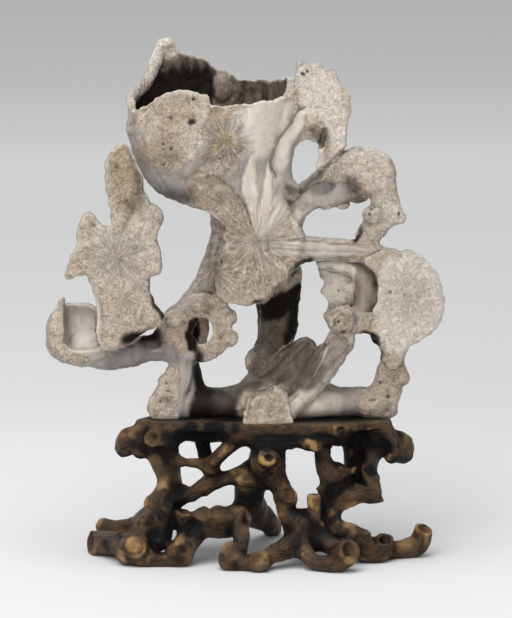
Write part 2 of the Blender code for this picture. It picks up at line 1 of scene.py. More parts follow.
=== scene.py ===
"""Dressed model of a scholars rock on its root-wood stand.

The stone and the stand are each one sculpted skin. A skin starts as a block: a cubic grid that holds,
at every point, the distance to the surface being shaped, below zero inside the material. Limbs,
plates, lumps and the cup are joined into the block, hollows are taken out of it, and the skin is the
surface where the distance is zero. Relief is then pressed into the skin, and masks painted on it
tell the finishes where it is crusted, smooth, pale, stained or worn, and where shade and highlight
are painted into its colour.

Places are given on a squared sheet that shows the front of the object, seen 10 degrees from above:
(across, down, depth), in squares from the left edge, from the top edge, and away from the viewer.
"""
import math

import bpy
import numpy as np
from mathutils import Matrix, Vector


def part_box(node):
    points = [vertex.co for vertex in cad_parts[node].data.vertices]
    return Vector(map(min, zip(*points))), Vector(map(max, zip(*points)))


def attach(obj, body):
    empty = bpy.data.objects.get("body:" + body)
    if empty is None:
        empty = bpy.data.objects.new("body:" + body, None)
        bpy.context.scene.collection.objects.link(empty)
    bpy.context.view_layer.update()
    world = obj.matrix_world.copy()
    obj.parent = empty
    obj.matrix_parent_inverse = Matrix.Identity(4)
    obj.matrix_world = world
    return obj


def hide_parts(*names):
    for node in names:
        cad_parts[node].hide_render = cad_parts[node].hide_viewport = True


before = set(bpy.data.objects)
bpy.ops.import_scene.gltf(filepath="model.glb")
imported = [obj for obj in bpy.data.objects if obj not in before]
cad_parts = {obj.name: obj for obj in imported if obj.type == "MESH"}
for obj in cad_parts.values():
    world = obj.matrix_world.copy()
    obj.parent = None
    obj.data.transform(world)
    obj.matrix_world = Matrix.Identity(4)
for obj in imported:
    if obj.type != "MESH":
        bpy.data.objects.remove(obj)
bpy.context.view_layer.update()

# The squared sheet, as the solids use it
OVERALL_HEIGHT = 0.350
SQUARES_HIGH = 515.0
SQUARE = OVERALL_HEIGHT / SQUARES_HIGH
TILT = math.radians(10.0)
TILT_SIN = math.sin(TILT)
TILT_COS = math.cos(TILT)
FLOOR_ROW = 555.0
CENTRE_COLUMN = 245.5
CENTRE_DEPTH = 2.0
STONE_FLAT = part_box("rock")[0].z / SQUARE
SEAT_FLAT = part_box("stand_seat")[1].z / SQUARE

# In squares: grid steps, the room left about a shape, the distance that a new block holds, and the
# lowest and highest corners of the blocks; then the most triangles a skin keeps
STONE_STEP = 1.3
WOOD_STEP = 1.15
MARGIN = 3
EMPTY = 40.0
STONE_RANGE = ((-205, -80, 138), (205, 80, 540))
SCOOP_RANGE = ((-205, -80, 138), (-100, 40, 300))
CUP_RANGE = ((-126, -70, 300), (64, 70, 540))
STAND_RANGE = ((-165, -112, -3), (195, 112, 150))
MOST_TRIANGLES = 194000

# ---------------------------------------------------------------------------------------------
# Stone: limbs (flatness, face, blend, points of across, down, depth, radius). A limb is worn flat in
# front at this share of its radius; FULL leaves it round.
FULL = 9.0
STONE_LIMBS = {
    "stem": (0.9, FULL, 9, [(232, 205, 2, 22), (226, 222, 2, 15), (219, 240, 1, 9), (210, 277, -2, 12),
        (202, 293, -4, 13), (190, 308, -6, 13), (176, 322, -8, 13), (166, 336, -10, 12)]),
    "stem_edge": (0.9, 0.7, 6, [(238, 215, -2, 14), (226, 240, -2, 8), (218, 262, -2, 8), (211, 285, -4, 9),
        (206, 300, -8, 10)]),
    "face_fill": (0.8, FULL, 12, [(265, 190, -14, 20), (266, 207, -14, 20), (262, 232, -15, 18)]),
    "cup_root": (0.8, 0.5, 4, [(200, 189, -22, 15), (214, 199, -26, 14), (230, 213, -27, 12),
        (246, 228, -25, 9)]),
    "ring": (0.75, 0.5, 2, [(184, 318, -16, 12), (194, 306, -18, 12), (207, 305, -20, 12),
        (219, 313, -21, 10), (222, 326, -22, 8), (221, 337, -22, 8), (212, 350, -22, 8), (198, 353, -21, 8),
        (184, 346, -17, 9), (181, 332, -16, 10), (184, 318, -16, 11)]),
    "ring_back": (1.0, FULL, 4, [(188, 352, 0, 9), (196, 342, 4, 9), (199, 328, 6, 10), (196, 312, 4, 10),
        (192, 302, 0, 9)]),
    "ring_post": (0.9, 0.5, 4, [(186, 345, -14, 10), (184, 358, -12, 10), (180, 372, -14, 12),
        (173, 388, -16, 13), (168, 400, -18, 15), (164, 408, -20, 16)]),
    "column": (1.3, FULL, 5, [(184, 350, -2, 10), (188, 365, 0, 10), (191, 382, 2, 11), (194, 400, 4, 15),
        (200, 410, 4, 16)]),
    "knot": (1.0, 0.6, 4, [(182, 320, -10, 12), (172, 327, -10, 11), (174, 342, -10, 12)]),
    "scoop_arm": (1.0, FULL, 6, [(182, 350, -10, 15), (165, 348, -12, 13), (146, 349, -14, 13),
        (125, 352, -16, 15), (102, 352, -18, 16), (88, 346, -20, 17)]),
    "scoop_lip": (0.8, FULL, 3, [(63, 299, -24, 3), (60, 308, -30, 5), (57, 322, -35, 6), (56, 336, -38, 6),
        (61, 349, -38, 6), (73, 358, -38, 5), (88, 358, -38, 5), (102, 352, -38, 5)]),
    "leaf_root": (0.9, FULL, 4, [(112, 338, -42, 9), (114, 350, -24, 13)]),
    "dark_limb": (0.8, 0.8, 4, [(280, 275, 12, 22), (279, 300, 16, 20), (279, 322, 18, 18),
        (275, 342, 16, 17), (266, 358, 12, 16), (263, 366, 10, 14), (262, 382, 6, 12)]),
    "dark_limb_root": (0.9, FULL, 5, [(262, 230, 6, 20), (272, 255, 10, 20), (280, 285, 14, 19)]),
    "blade": (0.7, 0.6, 3, [(226, 400, -6, 9), (246, 393, -12, 12), (263, 381, -16, 14),
        (279, 369, -18, 14), (292, 359, -20, 14), (304, 350, -20, 13)]),
    "ridge": (0.8, 0.8, 3, [(284, 406, -34, 14), (302, 392, -36, 12), (318, 374, -36, 12),
        (331, 355, -34, 13), (340, 340, -30, 14)]),
    "channel": (0.6, FULL, 5, [(280, 400, -26, 12), (306, 372, -26, 11), (324, 352, -26, 8)]),
    "knob_band": (0.8, 0.6, 4, [(342, 322, -28, 14), (355, 322, -22, 12), (368, 323, -18, 11),
        (384, 324, -14, 12)]),
    "arm_cross": (0.8, 0.6, 6, [(285, 249, -18, 19), (300, 250, -18, 13), (320, 249, -16, 11),
        (340, 250, -14, 10), (360, 251, -12, 10), (378, 256, -10, 10)]),
    "band": (1.6, FULL, 3, [(322, 262, 8, 6), (340, 264, 8, 7), (356, 268, 8, 9), (367, 282, 8, 11),
        (368, 297, 8, 11), (362, 312, 4, 10), (352, 322, -4, 10)]),
    "band_root": (1.2, FULL, 4, [(366, 290, 14, 11), (382, 296, 6, 13), (398, 300, 0, 14)]),
    "ear_web": (0.8, FULL, 8, [(290, 80, -1, 5), (289, 100, -7, 7), (287, 130, -12, 9), (281, 158, -14, 11),
        (277, 182, -12, 13)]),
    "ear_band": (0.8, 0.7, 4, [(309, 118, -9, 8), (299, 122, -12, 8), (291, 134, -14, 8),
        (284, 149, -15, 8), (280, 165, -15, 8), (282, 180, -14, 9), (292, 192, -12, 9)]),
    "arm_up": (0.8, 0.6, 5, [(284, 214, -2, 17), (298, 203, -2, 15), (313, 194, -2, 15), (330, 187, -2, 20),
        (346, 177, -3, 24), (361, 172, -4, 23), (373, 172, -4, 20)]),
    "arm_down": (0.8, 0.6, 4, [(376, 175, -4, 18), (382, 190, -4, 14), (385, 202, -4, 14),
        (384, 212, -4, 16), (378, 222, -4, 12), (369, 235, -6, 11), (367, 247, -8, 11)]),
    "arm_toe": (0.7, FULL, 3, [(384, 210, -4, 12), (395, 215, -5, 9), (400, 218, -5, 6)]),
    "foot_right": (0.9, 0.7, 4, [(392, 350, -8, 11), (391, 368, -8, 13), (387, 384, -8, 15),
        (382, 398, -8, 17), (379, 406, -8, 18)]),
    "foot_right_knob": (0.8, FULL, 3, [(390, 372, -10, 12), (400, 376, -12, 8)]),
    "plinth": (1.5, FULL, 6, [(175, 406, -4, 13), (200, 404, -2, 14), (225, 402, -2, 14),
        (250, 401, -2, 18), (280, 400, -6, 20), (310, 401, -8, 17), (345, 402, -6, 13),
        (375, 402, -6, 15)]),
    "sweep": (0.9, FULL, 4, [(206, 400, 4, 10), (225, 400, 4, 9), (245, 395, 4, 10), (262, 384, 4, 11),
        (278, 372, 2, 11)]),
    "front_foot": (0.8, 0.6, 2, [(262, 408, -30, 16), (276, 404, -30, 14)]),
    "base_right": (1.2, FULL, 5, [(318, 396, -8, 16), (340, 402, -6, 13), (360, 400, -6, 13)]),
    "rear_root": (0.9, FULL, 6, [(250, 205, 20, 18), (262, 240, 26, 17), (272, 290, 32, 17),
        (274, 330, 34, 15), (268, 360, 32, 14), (262, 392, 28, 16)]),
    "rear_plinth": (1.1, FULL, 6, [(192, 403, 18, 12), (230, 405, 24, 12), (270, 401, 26, 15),
        (310, 401, 24, 14), (350, 406, 18, 12)]),
}

# Stone plates: depth, slope across, slope up, thickness, rounding, blend, outline (across, down)
STONE_PLATES = {
    "ear": (-4, -0.10, 0.12, 15, 3, 5, [(287, 120), (286, 92), (290, 74), (294, 66), (300, 62), (308, 65),
        (316, 65), (325, 71), (332, 74), (341, 85), (347, 98), (348, 110), (348, 126), (346, 140),
        (341, 153), (331, 161), (318, 168), (319, 156), (318, 145), (308, 139), (298, 143), (289, 155),
        (283, 160)]),
    "star": (-20, 0.05, 0.16, 26, 3, 9, [(238, 210), (226, 226), (221, 250), (218, 272), (216, 290),
        (224, 299), (238, 302), (254, 301), (267, 294), (280, 282), (291, 270), (298, 259), (300, 235),
        (290, 215), (280, 205), (258, 202)]),
    "leaf": (-44, 0.10, 0.03, 13, 2.5, 2, [(118, 147), (127, 146), (136, 162), (144, 180), (147, 204),
        (157, 208), (163, 220), (157, 238), (162, 258), (159, 271), (149, 279), (152, 296), (163, 314),
        (160, 323), (148, 331), (136, 338), (122, 347), (106, 348), (98, 334), (98, 305), (92, 283),
        (84, 275), (66, 283), (67, 269), (77, 248), (84, 220), (92, 215), (105, 228), (114, 222),
        (110, 195), (108, 164)]),
    "disc": (-14, 0.16, 0.05, 16, 3, 3, [(365, 260), (380, 252), (397, 249), (414, 253), (430, 266),
        (440, 280), (443, 298), (440, 320), (430, 335), (410, 345), (402, 358), (396, 367), (386, 363),
        (378, 346), (371, 334), (372, 318), (378, 298), (376, 276)]),
    "foot_face": (-44, 0.05, 0.1, 18, 3, 2, [(245, 421), (245, 411), (248, 401), (255, 395), (266, 393),
        (275, 388), (282, 388), (286, 396), (289, 408), (290, 424), (282, 430), (266, 431), (250, 429)]),
    "back_plate": (22, -0.1, 0.0, 12, 2.5, 3, [(321, 262), (320, 275), (324, 282), (321, 291), (329, 303),
        (325, 315), (331, 328), (345, 336), (360, 325), (364, 300), (364, 280), (352, 262), (338, 256)]),
}

# Stone lumps: centre, half sizes (across, deep, high), blend
STONE_LUMPS = {
    "knob": ((342, 321, -32), (13, 12, 13), 3),
    "knob_top": ((345, 313, -38), (8, 7, 7), 2),
    "knob_side": ((337, 325, -38), (8, 7, 8), 2),
    "disc_boss": ((408, 300, -2), (26, 14, 32), 6),
    "leaf_boss": ((126, 268, -36), (22, 12, 48), 6),
    "ear_boss": ((320, 108, 4), (20, 12, 30), 6),
    "cup_back_lobe": ((252, 158, 36), (32, 14, 40), 8),
    "arm_belly": ((357, 187, -4), (14, 12, 17), 4),
    "arm_knee": ((372, 214, -9), (9, 9, 8), 2),
    "limb_toe": ((262, 361, -1), (15, 15, 16), 8),
    "foot_lump": ((400, 375, -12), (8, 8, 10), 6),
    "ring_lobe_top": ((216, 303, -20), (8, 6, 5), 2),
    "stem_lobe": ((176, 318, -20), (9, 6, 7), 3),
    "ring_lobe_high": ((229, 317, -20), (7, 6, 7), 2),
    "ring_lobe_low": ((228, 338, -20), (7, 6, 7), 2),
    "post_lobe": ((166, 381, -18), (6, 6, 6), 2),
    "arm_lobe_left": ((326, 206, -4), (6, 6, 4), 2),
    "arm_lobe_right": ((343, 205, -2), (7, 6, 4), 2),
}

# Knob on the cup's inner wall, and its outline on the sheet
CUP_INNER_KNOB = ((222, 88, 43), (9, 7, 14), 4)
CUP_KNOB_OUTLINE = [(214, 74), (222, 68), (230, 72), (234, 88), (230, 104), (214, 104)]

# Hollows taken out of the stone as limbs: flatness, blend, points
STONE_GROOVES = {
    "arm_bowl": (0.8, 2, [(300, 199, -13, 4), (311, 194, -13, 7), (323, 189, -14, 8), (331, 187, -15, 5)]),
    "arm_dent": (0.8, 3, [(348, 183, -18, 5), (354, 191, -17, 6)]),
    "channel": (0.7, 3, [(286, 396, -44, 4), (300, 378, -42, 8), (312, 362, -40, 8), (323, 349, -36, 5)]),
    "leaf_hollow": (1.2, 3, [(138, 340, -30, 5), (148, 342, -26, 7), (158, 344, -22, 5)]),
    "scoop_lip_gap": (1.0, 1.5, [(64, 344, -46, 2), (70, 338, -40, 2)]),
    "ear_hollow": (0.8, 3, [(324, 133, -14, 5), (321, 146, -12, 5)]),
    "inner_edge": (1.0, 2, [(367, 206, -16, 3), (372, 209, -14, 4)]),
}

# Cup: rows of down, left, right, half depth, centre depth; then its rim by direction in degrees
# (0 right, -90 front, 90 back), row of the rim
CUP_SECTIONS = [(30, 131, 296, 50, 2), (60, 130, 294, 50, 2), (85, 130, 292, 49, 2),
                (105, 129, 291, 48, 2), (130, 127, 288, 46, 1), (150, 131, 286, 43, 0),
                (168, 139, 284, 39, 0), (182, 149, 286, 34, -1), (192, 160, 288, 30, -2),
                (199, 176, 290, 26, -3), (206, 200, 291, 24, -5), (214, 222, 292, 22, -6),
                (225, 232, 292, 18, -8)]
CUP_BULGE = (-125.0, 40.0, 150.0, 34.0, 7.0)  # direction, spread, row, spread, squares outward
CUP_FLOOR_ROW = 170.0
CUP_FLOOR_ROUNDING = 10.0
CUP_WALL = 5.2
CUP_RIM = [(-180, 101), (-168, 107), (-155, 110), (-145, 104), (-135, 98), (-125, 91), (-112, 86),
           (-100, 88), (-92, 92), (-90, 100), (-60, 99), (-45, 98), (-30, 97), (-20, 95), (-10, 90),
           (0, 86), (10, 80), (16, 83), (37, 87), (67, 87), (75, 84), (81, 79), (87, 78), (92, 72),
           (98, 66), (104, 64), (112, 64), (119, 58), (124, 49), (129, 50), (134, 66), (140, 78),
           (146, 87), (160, 95), (170, 99), (180, 101)]
CUP_RIM_WAVES = [(0.6, 0.31, 1.0), (0.35, 0.83, 0.0)]  # rows up and down, rate, shift
# Lip rolled outward over the rim at the left: direction, radius; then the directions where it starts
# and ends, and how far its paint reaches down the wall
CUP_LIP = [(192, 2.6), (180, 4.2), (170, 5.2), (160, 5.4), (150, 5.4), (141, 5.6), (134, 5.6),
           (129, 5.4), (124, 4.6), (118, 2.4)]
LIP_START = (114.0, 124.0)
LIP_END = (190.0, 205.0)
LIP_DROP = (4.0, 9.0)
# Painted shade inside the cup: rows and columns where it begins, columns of its lighter right part,
# rows over which it gets dark, and the stretch of its streaks
CUP_INSIDE_ROWS = (54.0, 62.0)
CUP_INSIDE_COLUMNS = (172.0, 178.0)
CUP_RIGHT_COLUMNS = (204.0, 250.0)
CUP_DARK_ROWS = (56.0, 82.0)
CUP_STREAK_STRETCH = (1.0, 1.0, 0.08)

# Scoop: bowl, then the flat-backed hollow in it: centre, half sizes, blend, power
SCOOP_BOWL = ((78, 334, -20), (31, 26, 31), 5, 2.3)
SCOOP_HOLLOW = ((89, 321, -46), (25, 28, 31), 2, 5.0)

# Stand seat: plan outline in squares about this column, thickness, edge rounding
SEAT_COLUMN = 244.0
SEAT_OUTLINE = [(-107, -32), (-90, -44), (-60, -50), (-20, -56), (30, -58), (70, -56), (110, -50),
                (140, -40), (148, -28), (141, -10), (136, 14), (122, 38), (100, 48), (60, 54), (10, 54),
                (-40, 52), (-70, 42), (-88, 22), (-94, -4), (-100, -18)]
SEAT_THICKNESS = 9.0
SEAT_ROUNDING = 3.0
# Painted shade under the seat: squares in from its outline, levels over which it comes on, and levels
# over which painted shade comes onto the undersides
SEAT_SHADE_REACH = (16.0, 42.0)
SEAT_SHADE_LEVELS = (8.0, 40.0)
UNDERSIDE_LEVELS = (50.0, 90.0)

# Stand limbs: points (across, down, depth, radius)
WOOD_LIMBS = {
    "apron_left": [(168, 432, -36, 10), (182, 431, -30, 9), (196, 431, -16, 11), (216, 431, -16, 11),
        (236, 433, -40, 9)],
    "apron_middle": [(236, 433, -46, 9), (252, 435, -46, 10), (268, 438, -44, 13), (288, 437, -44, 12),
        (306, 436, -42, 12), (322, 434, -42, 10), (338, 433, -40, 10)],
    "apron_right": [(338, 433, -40, 10), (350, 434, -12, 12), (364, 436, -8, 13), (378, 434, -24, 13)],
    "ear_left": [(165, 434, -26, 15), (142, 437, -26, 14), (129, 440, -26, 12)],
    "ear_left_knob": [(142, 442, -30, 10), (140, 453, -34, 6)],
    "ear_left_tip": [(130, 440, -24, 10), (124, 447, -22, 7)],
    "ear_left_point": [(126, 446, -22, 6), (124, 453, -22, 1.5)],
    "ear_right": [(374, 432, -16, 14), (390, 439, -18, 12), (402, 449, -20, 14)],
    "ear_right_tip": [(400, 442, -18, 8), (410, 445, -18, 6)],
    "ear_right_lip": [(378, 430, -30, 6), (388, 433, -33, 6), (394, 441, -35, 6), (395, 451, -34, 6),
        (390, 458, -31, 5)],
    "front_knob": [(300, 432, -42, 9), (308, 443, -50, 7), (316, 445, -50, 5)],
    "hollow_knob": [(336, 428, -46, 9), (340, 430, -56, 8)],
    "ring_knob_left": [(160, 438, -40, 11), (154, 438, -48, 8)],
    "left_leg": [(162, 438, -30, 17), (160, 450, -32, 13), (162, 462, -34, 11), (167, 476, -36, 10),
        (168, 490, -38, 12), (165, 505, -40, 15), (162, 520, -42, 14), (158, 538, -46, 13)],
    "left_leg_web": [(168, 446, -34, 7), (170, 460, -36, 4), (173, 474, -36, 5), (180, 492, -36, 5)],
    "left_thorn": [(162, 505, -40, 8), (152, 503, -40, 5), (146, 503, -40, 1)],
    "left_hump": [(160, 520, -44, 11), (148, 521, -50, 10), (142, 532, -54, 9), (136, 545, -56, 13)],
    "left_toe_front": [(130, 552, -54, 13), (142, 555, -58, 12), (156, 560, -60, 8), (170, 560, -60, 8),
        (183, 556, -60, 10)],
    "left_toe_side": [(132, 549, -48, 13), (118, 544, -30, 11), (106, 544, -10, 12), (96, 545, -2, 12)],
    "left_stub": [(179, 548, -58, 8), (184, 532, -52, 6), (185, 518, -50, 7)],
    "left_stub_low": [(178, 551, -60, 8), (182, 550, -64, 8)],
    "left_rear_leg": [(165, 428, 25, 13), (164, 446, 25, 12), (168, 470, 22, 11), (170, 486, 16, 11),
        (162, 500, 20, 11), (150, 514, 40, 10), (136, 527, 66, 9), (118, 531, 82, 9), (104, 531, 90, 10)],
    "vine": [(250, 434, -44, 9), (240, 438, -44, 7), (230, 446, -42, 7), (218, 457, -40, 7),
        (210, 468, -36, 7)],
    "vine_fin": [(224, 452, -46, 4), (216, 462, -46, 3), (213, 473, -44, 1)],
    "bridge": [(172, 454, -34, 5), (184, 462, -36, 4), (200, 463, -36, 4), (214, 468, -34, 5)],
    "inner_leg": [(200, 430, 0, 10), (203, 445, 0, 8), (206, 458, -6, 8), (212, 470, -14, 8)],
    "cross_limb": [(168, 502, -38, 9), (180, 497, -36, 8), (192, 494, -34, 7), (206, 485, -32, 9),
        (220, 480, -30, 8), (236, 476, -30, 8), (252, 476, -32, 12), (270, 474, -36, 15)],
    "front_trunk": [(254, 476, -26, 15), (250, 490, -22, 16), (247, 503, -20, 14), (238, 517, -22, 12),
        (226, 525, -28, 11)],
    "front_mass": [(236, 516, -34, 11), (222, 520, -40, 12), (208, 522, -44, 10)],
    "front_arch": [(236, 520, -30, 12), (220, 526, -40, 11), (206, 526, -46, 11), (196, 536, -52, 9),
        (190, 544, -56, 8)],
    "knob_wide": [(206, 524, -46, 9), (203, 517, -48, 8)],
    "knob_small": [(216, 520, -42, 6), (218, 511, -42, 4)],
    "front_post": [(238, 518, -36, 10), (241, 532, -50, 8), (241, 546, -60, 8), (236, 556, -72, 9)],
    "front_toe": [(231, 550, -72, 10), (231, 559, -78, 11), (244, 562, -82, 8), (259, 561, -84, 11)],
    "ring_knob": [(268, 438, -40, 12), (268, 450, -44, 14), (268, 462, -48, 14), (268, 458, -58, 11)],
    "golden_limb": [(270, 462, -44, 16), (275, 476, -44, 12), (282, 488, -44, 9), (286, 500, -46, 9),
        (286, 512, -48, 9), (294, 522, -52, 9)],
    "golden_knob": [(284, 496, -46, 8), (290, 496, -50, 6)],
    "right_front_leg": [(323, 438, -20, 11), (322, 454, -20, 7), (326, 470, -22, 11), (334, 481, -24, 13),
        (328, 497, -26, 10), (326, 514, -32, 9), (320, 530, -44, 12), (306, 545, -56, 10)],
    "right_flare_high": [(342, 474, -26, 8), (350, 472, -26, 4), (355, 468, -26, 1)],
    "right_flare_low": [(326, 486, -26, 7), (320, 489, -26, 3), (316, 488, -26, 1)],
    "right_web": [(336, 474, -20, 8), (346, 482, -20, 8), (352, 492, -26, 7)],
    "right_front_trunk": [(300, 524, -50, 13), (296, 538, -58, 13), (284, 549, -68, 11),
        (272, 553, -76, 8)],
    "link": [(300, 526, -52, 11), (316, 534, -50, 11), (332, 545, -60, 9), (346, 546, -56, 8)],
    "prong": [(312, 526, -50, 7), (315, 512, -52, 6), (314, 499, -52, 6)],
    "prong_lobe": [(312, 525, -46, 8), (304, 518, -46, 8)],
    "right_front_toe": [(302, 548, -66, 9), (312, 560, -80, 7), (326, 563, -86, 9), (338, 560, -88, 11),
        (346, 552, -88, 12)],
    "right_leg": [(358, 438, -6, 16), (357, 452, -4, 13), (357, 470, -6, 12), (358, 484, -12, 10),
        (350, 492, -22, 9)],
    "outer_leg": [(382, 440, -20, 11), (376, 450, -22, 9), (370, 462, -24, 8), (369, 476, -26, 8),
        (372, 490, -28, 8), (356, 493, -32, 8), (344, 498, -34, 8)],
    "curl": [(356, 493, -32, 8), (342, 498, -34, 8), (333, 510, -36, 8), (333, 523, -40, 9),
        (344, 532, -44, 9), (358, 540, -46, 10), (372, 549, -40, 11)],
    "right_thorn": [(372, 497, -30, 5), (383, 501, -30, 1)],
    "low_thorn": [(356, 536, -48, 7), (366, 533, -48, 3), (370, 533, -48, 1)],
    "right_toe_near": [(366, 552, -40, 11), (377, 552, -38, 12), (384, 543, -38, 8)],
    "right_toe_far": [(376, 551, -30, 10), (392, 551, -22, 9), (408, 550, -16, 10), (420, 544, -14, 10),
        (423, 536, -14, 9)],
    "rear_leg": [(268, 427, 40, 13), (264, 446, 38, 12), (256, 474, 36, 12), (249, 494, 42, 14),
        (253, 512, 58, 15), (267, 524, 84, 12), (272, 531, 95, 10)],
    "right_rear_leg": [(358, 428, 30, 13), (356, 456, 30, 11), (352, 482, 30, 10), (334, 500, 36, 10),
        (328, 518, 48, 10), (338, 533, 68, 10), (354, 535, 80, 9)],
}
WOOD_BLEND = 8.5

# Cut twig ends: middle of the cut, way it faces (across, up, away), radius, depth of its hollow
CUT_ENDS = {
    "left_disc": ((90, 543, -2), (-1.0, 0.1, -0.35), 13, 3.0),
    "left_stub_ring": ((182, 550, -69), (0.3, 0.35, -1.0), 8.5, 2.0),
    "left_stub_top": ((184, 511, -54), (0.1, 1.0, -0.3), 8, 2.0),
    "ring_left": ((152, 438, -52), (-0.25, 0.35, -1.0), 8, 2.0),
    "ring_middle": ((268, 457, -66), (0.0, 0.8, -1.0), 6.5, 4.0),
    "ring_low": ((288, 496, -55), (0.35, 0.7, -1.0), 5, 1.5),
    "knob_front": ((316, 446, -56), (0.5, 0.1, -1.0), 5, 0.6),
    "hollow_knob": ((341, 430, -60), (0.25, 0.1, -1.0), 6, 4.0),
    "front_toe_face": ((259, 560, -95), (0.0, 0.25, -1.0), 10, 1.2),
    "big_hollow": ((349, 549, -94), (0.75, 0.55, -1.0), 11, 6.0),
    "right_ring": ((385, 539, -42), (0.15, 1.0, -0.7), 8, 7.0),
    "right_tip": ((424, 529, -15), (0.35, 1.0, -0.4), 9, 3.0),
    "prong_top": ((314, 494, -52), (0.0, 1.0, -0.1), 6, 0.6),
    "wide_knob_top": ((202, 512, -54), (0.0, 0.8, -1.0), 8, 1.2),
    "small_knob_top": ((218, 508, -42), (0.1, 1.0, -0.6), 4, 0.6),
    "hump_face": ((137, 546, -70), (-0.2, 0.25, -1.0), 9, 0.8),
    "ear_right_face": ((411, 446, -22), (0.9, 0.2, -0.4), 7, 1.0),
}
CUT_BORE = 0.74  # radius of the hollow, as a share of the cut's
CUT_NECK = [(2.2, 0.75), (1.0, 0.88), (0.0, 1.0)]  # radii back from the cut, share of its radius

# Creases pressed into the front of the stone: width, depth, darkness of the painted shade along them,
# points (across, down)
CREASES = {
    "funnel_edge": (1.5, 1.0, 0.8, [(304, 108), (298, 113), (288, 127), (280, 140), (273, 152), (271, 165),
        (276, 178)]),
    "face_left": (1.4, 0.9, 0.6, [(214, 216), (219, 238), (221, 262), (218, 286), (205, 299)]),
    "ear_contact": (1.5, 1.2, 0.8, [(321, 167), (332, 161), (340, 154), (348, 149)]),
    "disc_crevice": (2.6, 3.0, 1.0, [(362, 337), (372, 338), (376, 348), (383, 363)]),
    "cup_ledge": (1.3, 0.8, 0.5, [(129, 127), (140, 119), (150, 107), (159, 98)]),
    "wedge_one_left": (1.3, 0.8, 0.35, [(252, 156), (244, 170), (240, 190), (246, 212), (255, 235)]),
    "wedge_one_right": (1.3, 0.9, 0.45, [(253, 155), (257, 175), (258, 198), (257, 220), (259, 238)]),
    "wedge_two_left": (1.2, 0.8, 0.35, [(268, 162), (263, 182), (261, 205), (261, 236)]),
    "wedge_two_right": (1.2, 0.8, 0.35, [(268, 162), (272, 182), (272, 205), (265, 236)]),
    "boss_edge": (1.6, 1.4, 0.6, [(190, 202), (186, 190), (188, 179), (196, 174), (207, 173), (216, 178),
        (228, 186), (238, 196), (246, 210), (251, 224)]),
    "finger_edge": (1.4, 0.8, 0.5, [(137, 172), (141, 196), (134, 212), (124, 232), (119, 250)]),
    "spiral_outer": (1.5, 1.3, 0.6, [(331, 316), (337, 309), (347, 308), (355, 313), (357, 322), (352, 330),
        (342, 332)]),
    "spiral_inner": (1.5, 1.3, 0.8, [(334, 325), (334, 319), (340, 315), (346, 318), (345, 324)]),
    "arm_rib_one": (1.3, 0.9, 0.35, [(268, 244), (290, 241), (330, 243), (372, 249)]),
    "arm_rib_two": (1.3, 0.9, 0.35, [(268, 249), (300, 250), (340, 252), (374, 253)]),
    "band_edge": (1.4, 1.0, 0.6, [(300, 264), (322, 259), (346, 260), (364, 268), (376, 282), (378, 298)]),
    "limb_front_edge": (1.4, 1.0, 0.5, [(262, 316), (270, 318), (279, 303), (282, 288)]),
    "foot_edge": (1.6, 1.4, 0.8, [(247, 416), (251, 402), (263, 391), (276, 386), (286, 392)]),
    "base_facet_one": (1.2, 0.7, 0.4, [(300, 398), (308, 410), (304, 420)]),
    "blade_line_mid": (1.4, 1.0, 0.7, [(310, 345), (292, 362), (268, 380), (246, 392)]),
    "ridge_line": (1.5, 1.1, 0.7, [(332, 350), (318, 370), (300, 392), (292, 402)]),
    "ridge_edge": (1.6, 1.2, 1.0, [(327, 342), (314, 362), (300, 382), (290, 396)]),
    "blade_line_one": (1.6, 1.1, 0.8, [(303, 343), (284, 361), (258, 382), (236, 391)]),
    "blade_line_two": (1.6, 1.1, 0.6, [(312, 351), (296, 369), (276, 387), (258, 396)]),
    "limb_toe_line": (1.8, 1.4, 1.0, [(247, 368), (256, 377), (268, 377), (279, 368), (288, 355)]),
    "ring_knot": (1.4, 1.0, 0.5, [(196, 300), (206, 306), (216, 304)]),
}

# Star-shaped growths of crystal: centre (across, down), depth, reach, height of the rays, and how
# far they change the colour
STARS = {
    "face": ((258, 243), -34, 84, 0.8, 0.42),
    "leaf": ((118, 258), -52, 44, 0.8, 0.4),
    "cup": ((228, 143), -44, 32, 0.7, 0.7),
    "disc": ((408, 296), -24, 44, 0.5, 0.1),
    "back": ((214, 262), 16, 50, 0.9, 0.4),
}
STAR_SPOKES = 32
STAR_STRETCH = 17.0  # squares outward over which a ray changes
STAR_SEED = 81
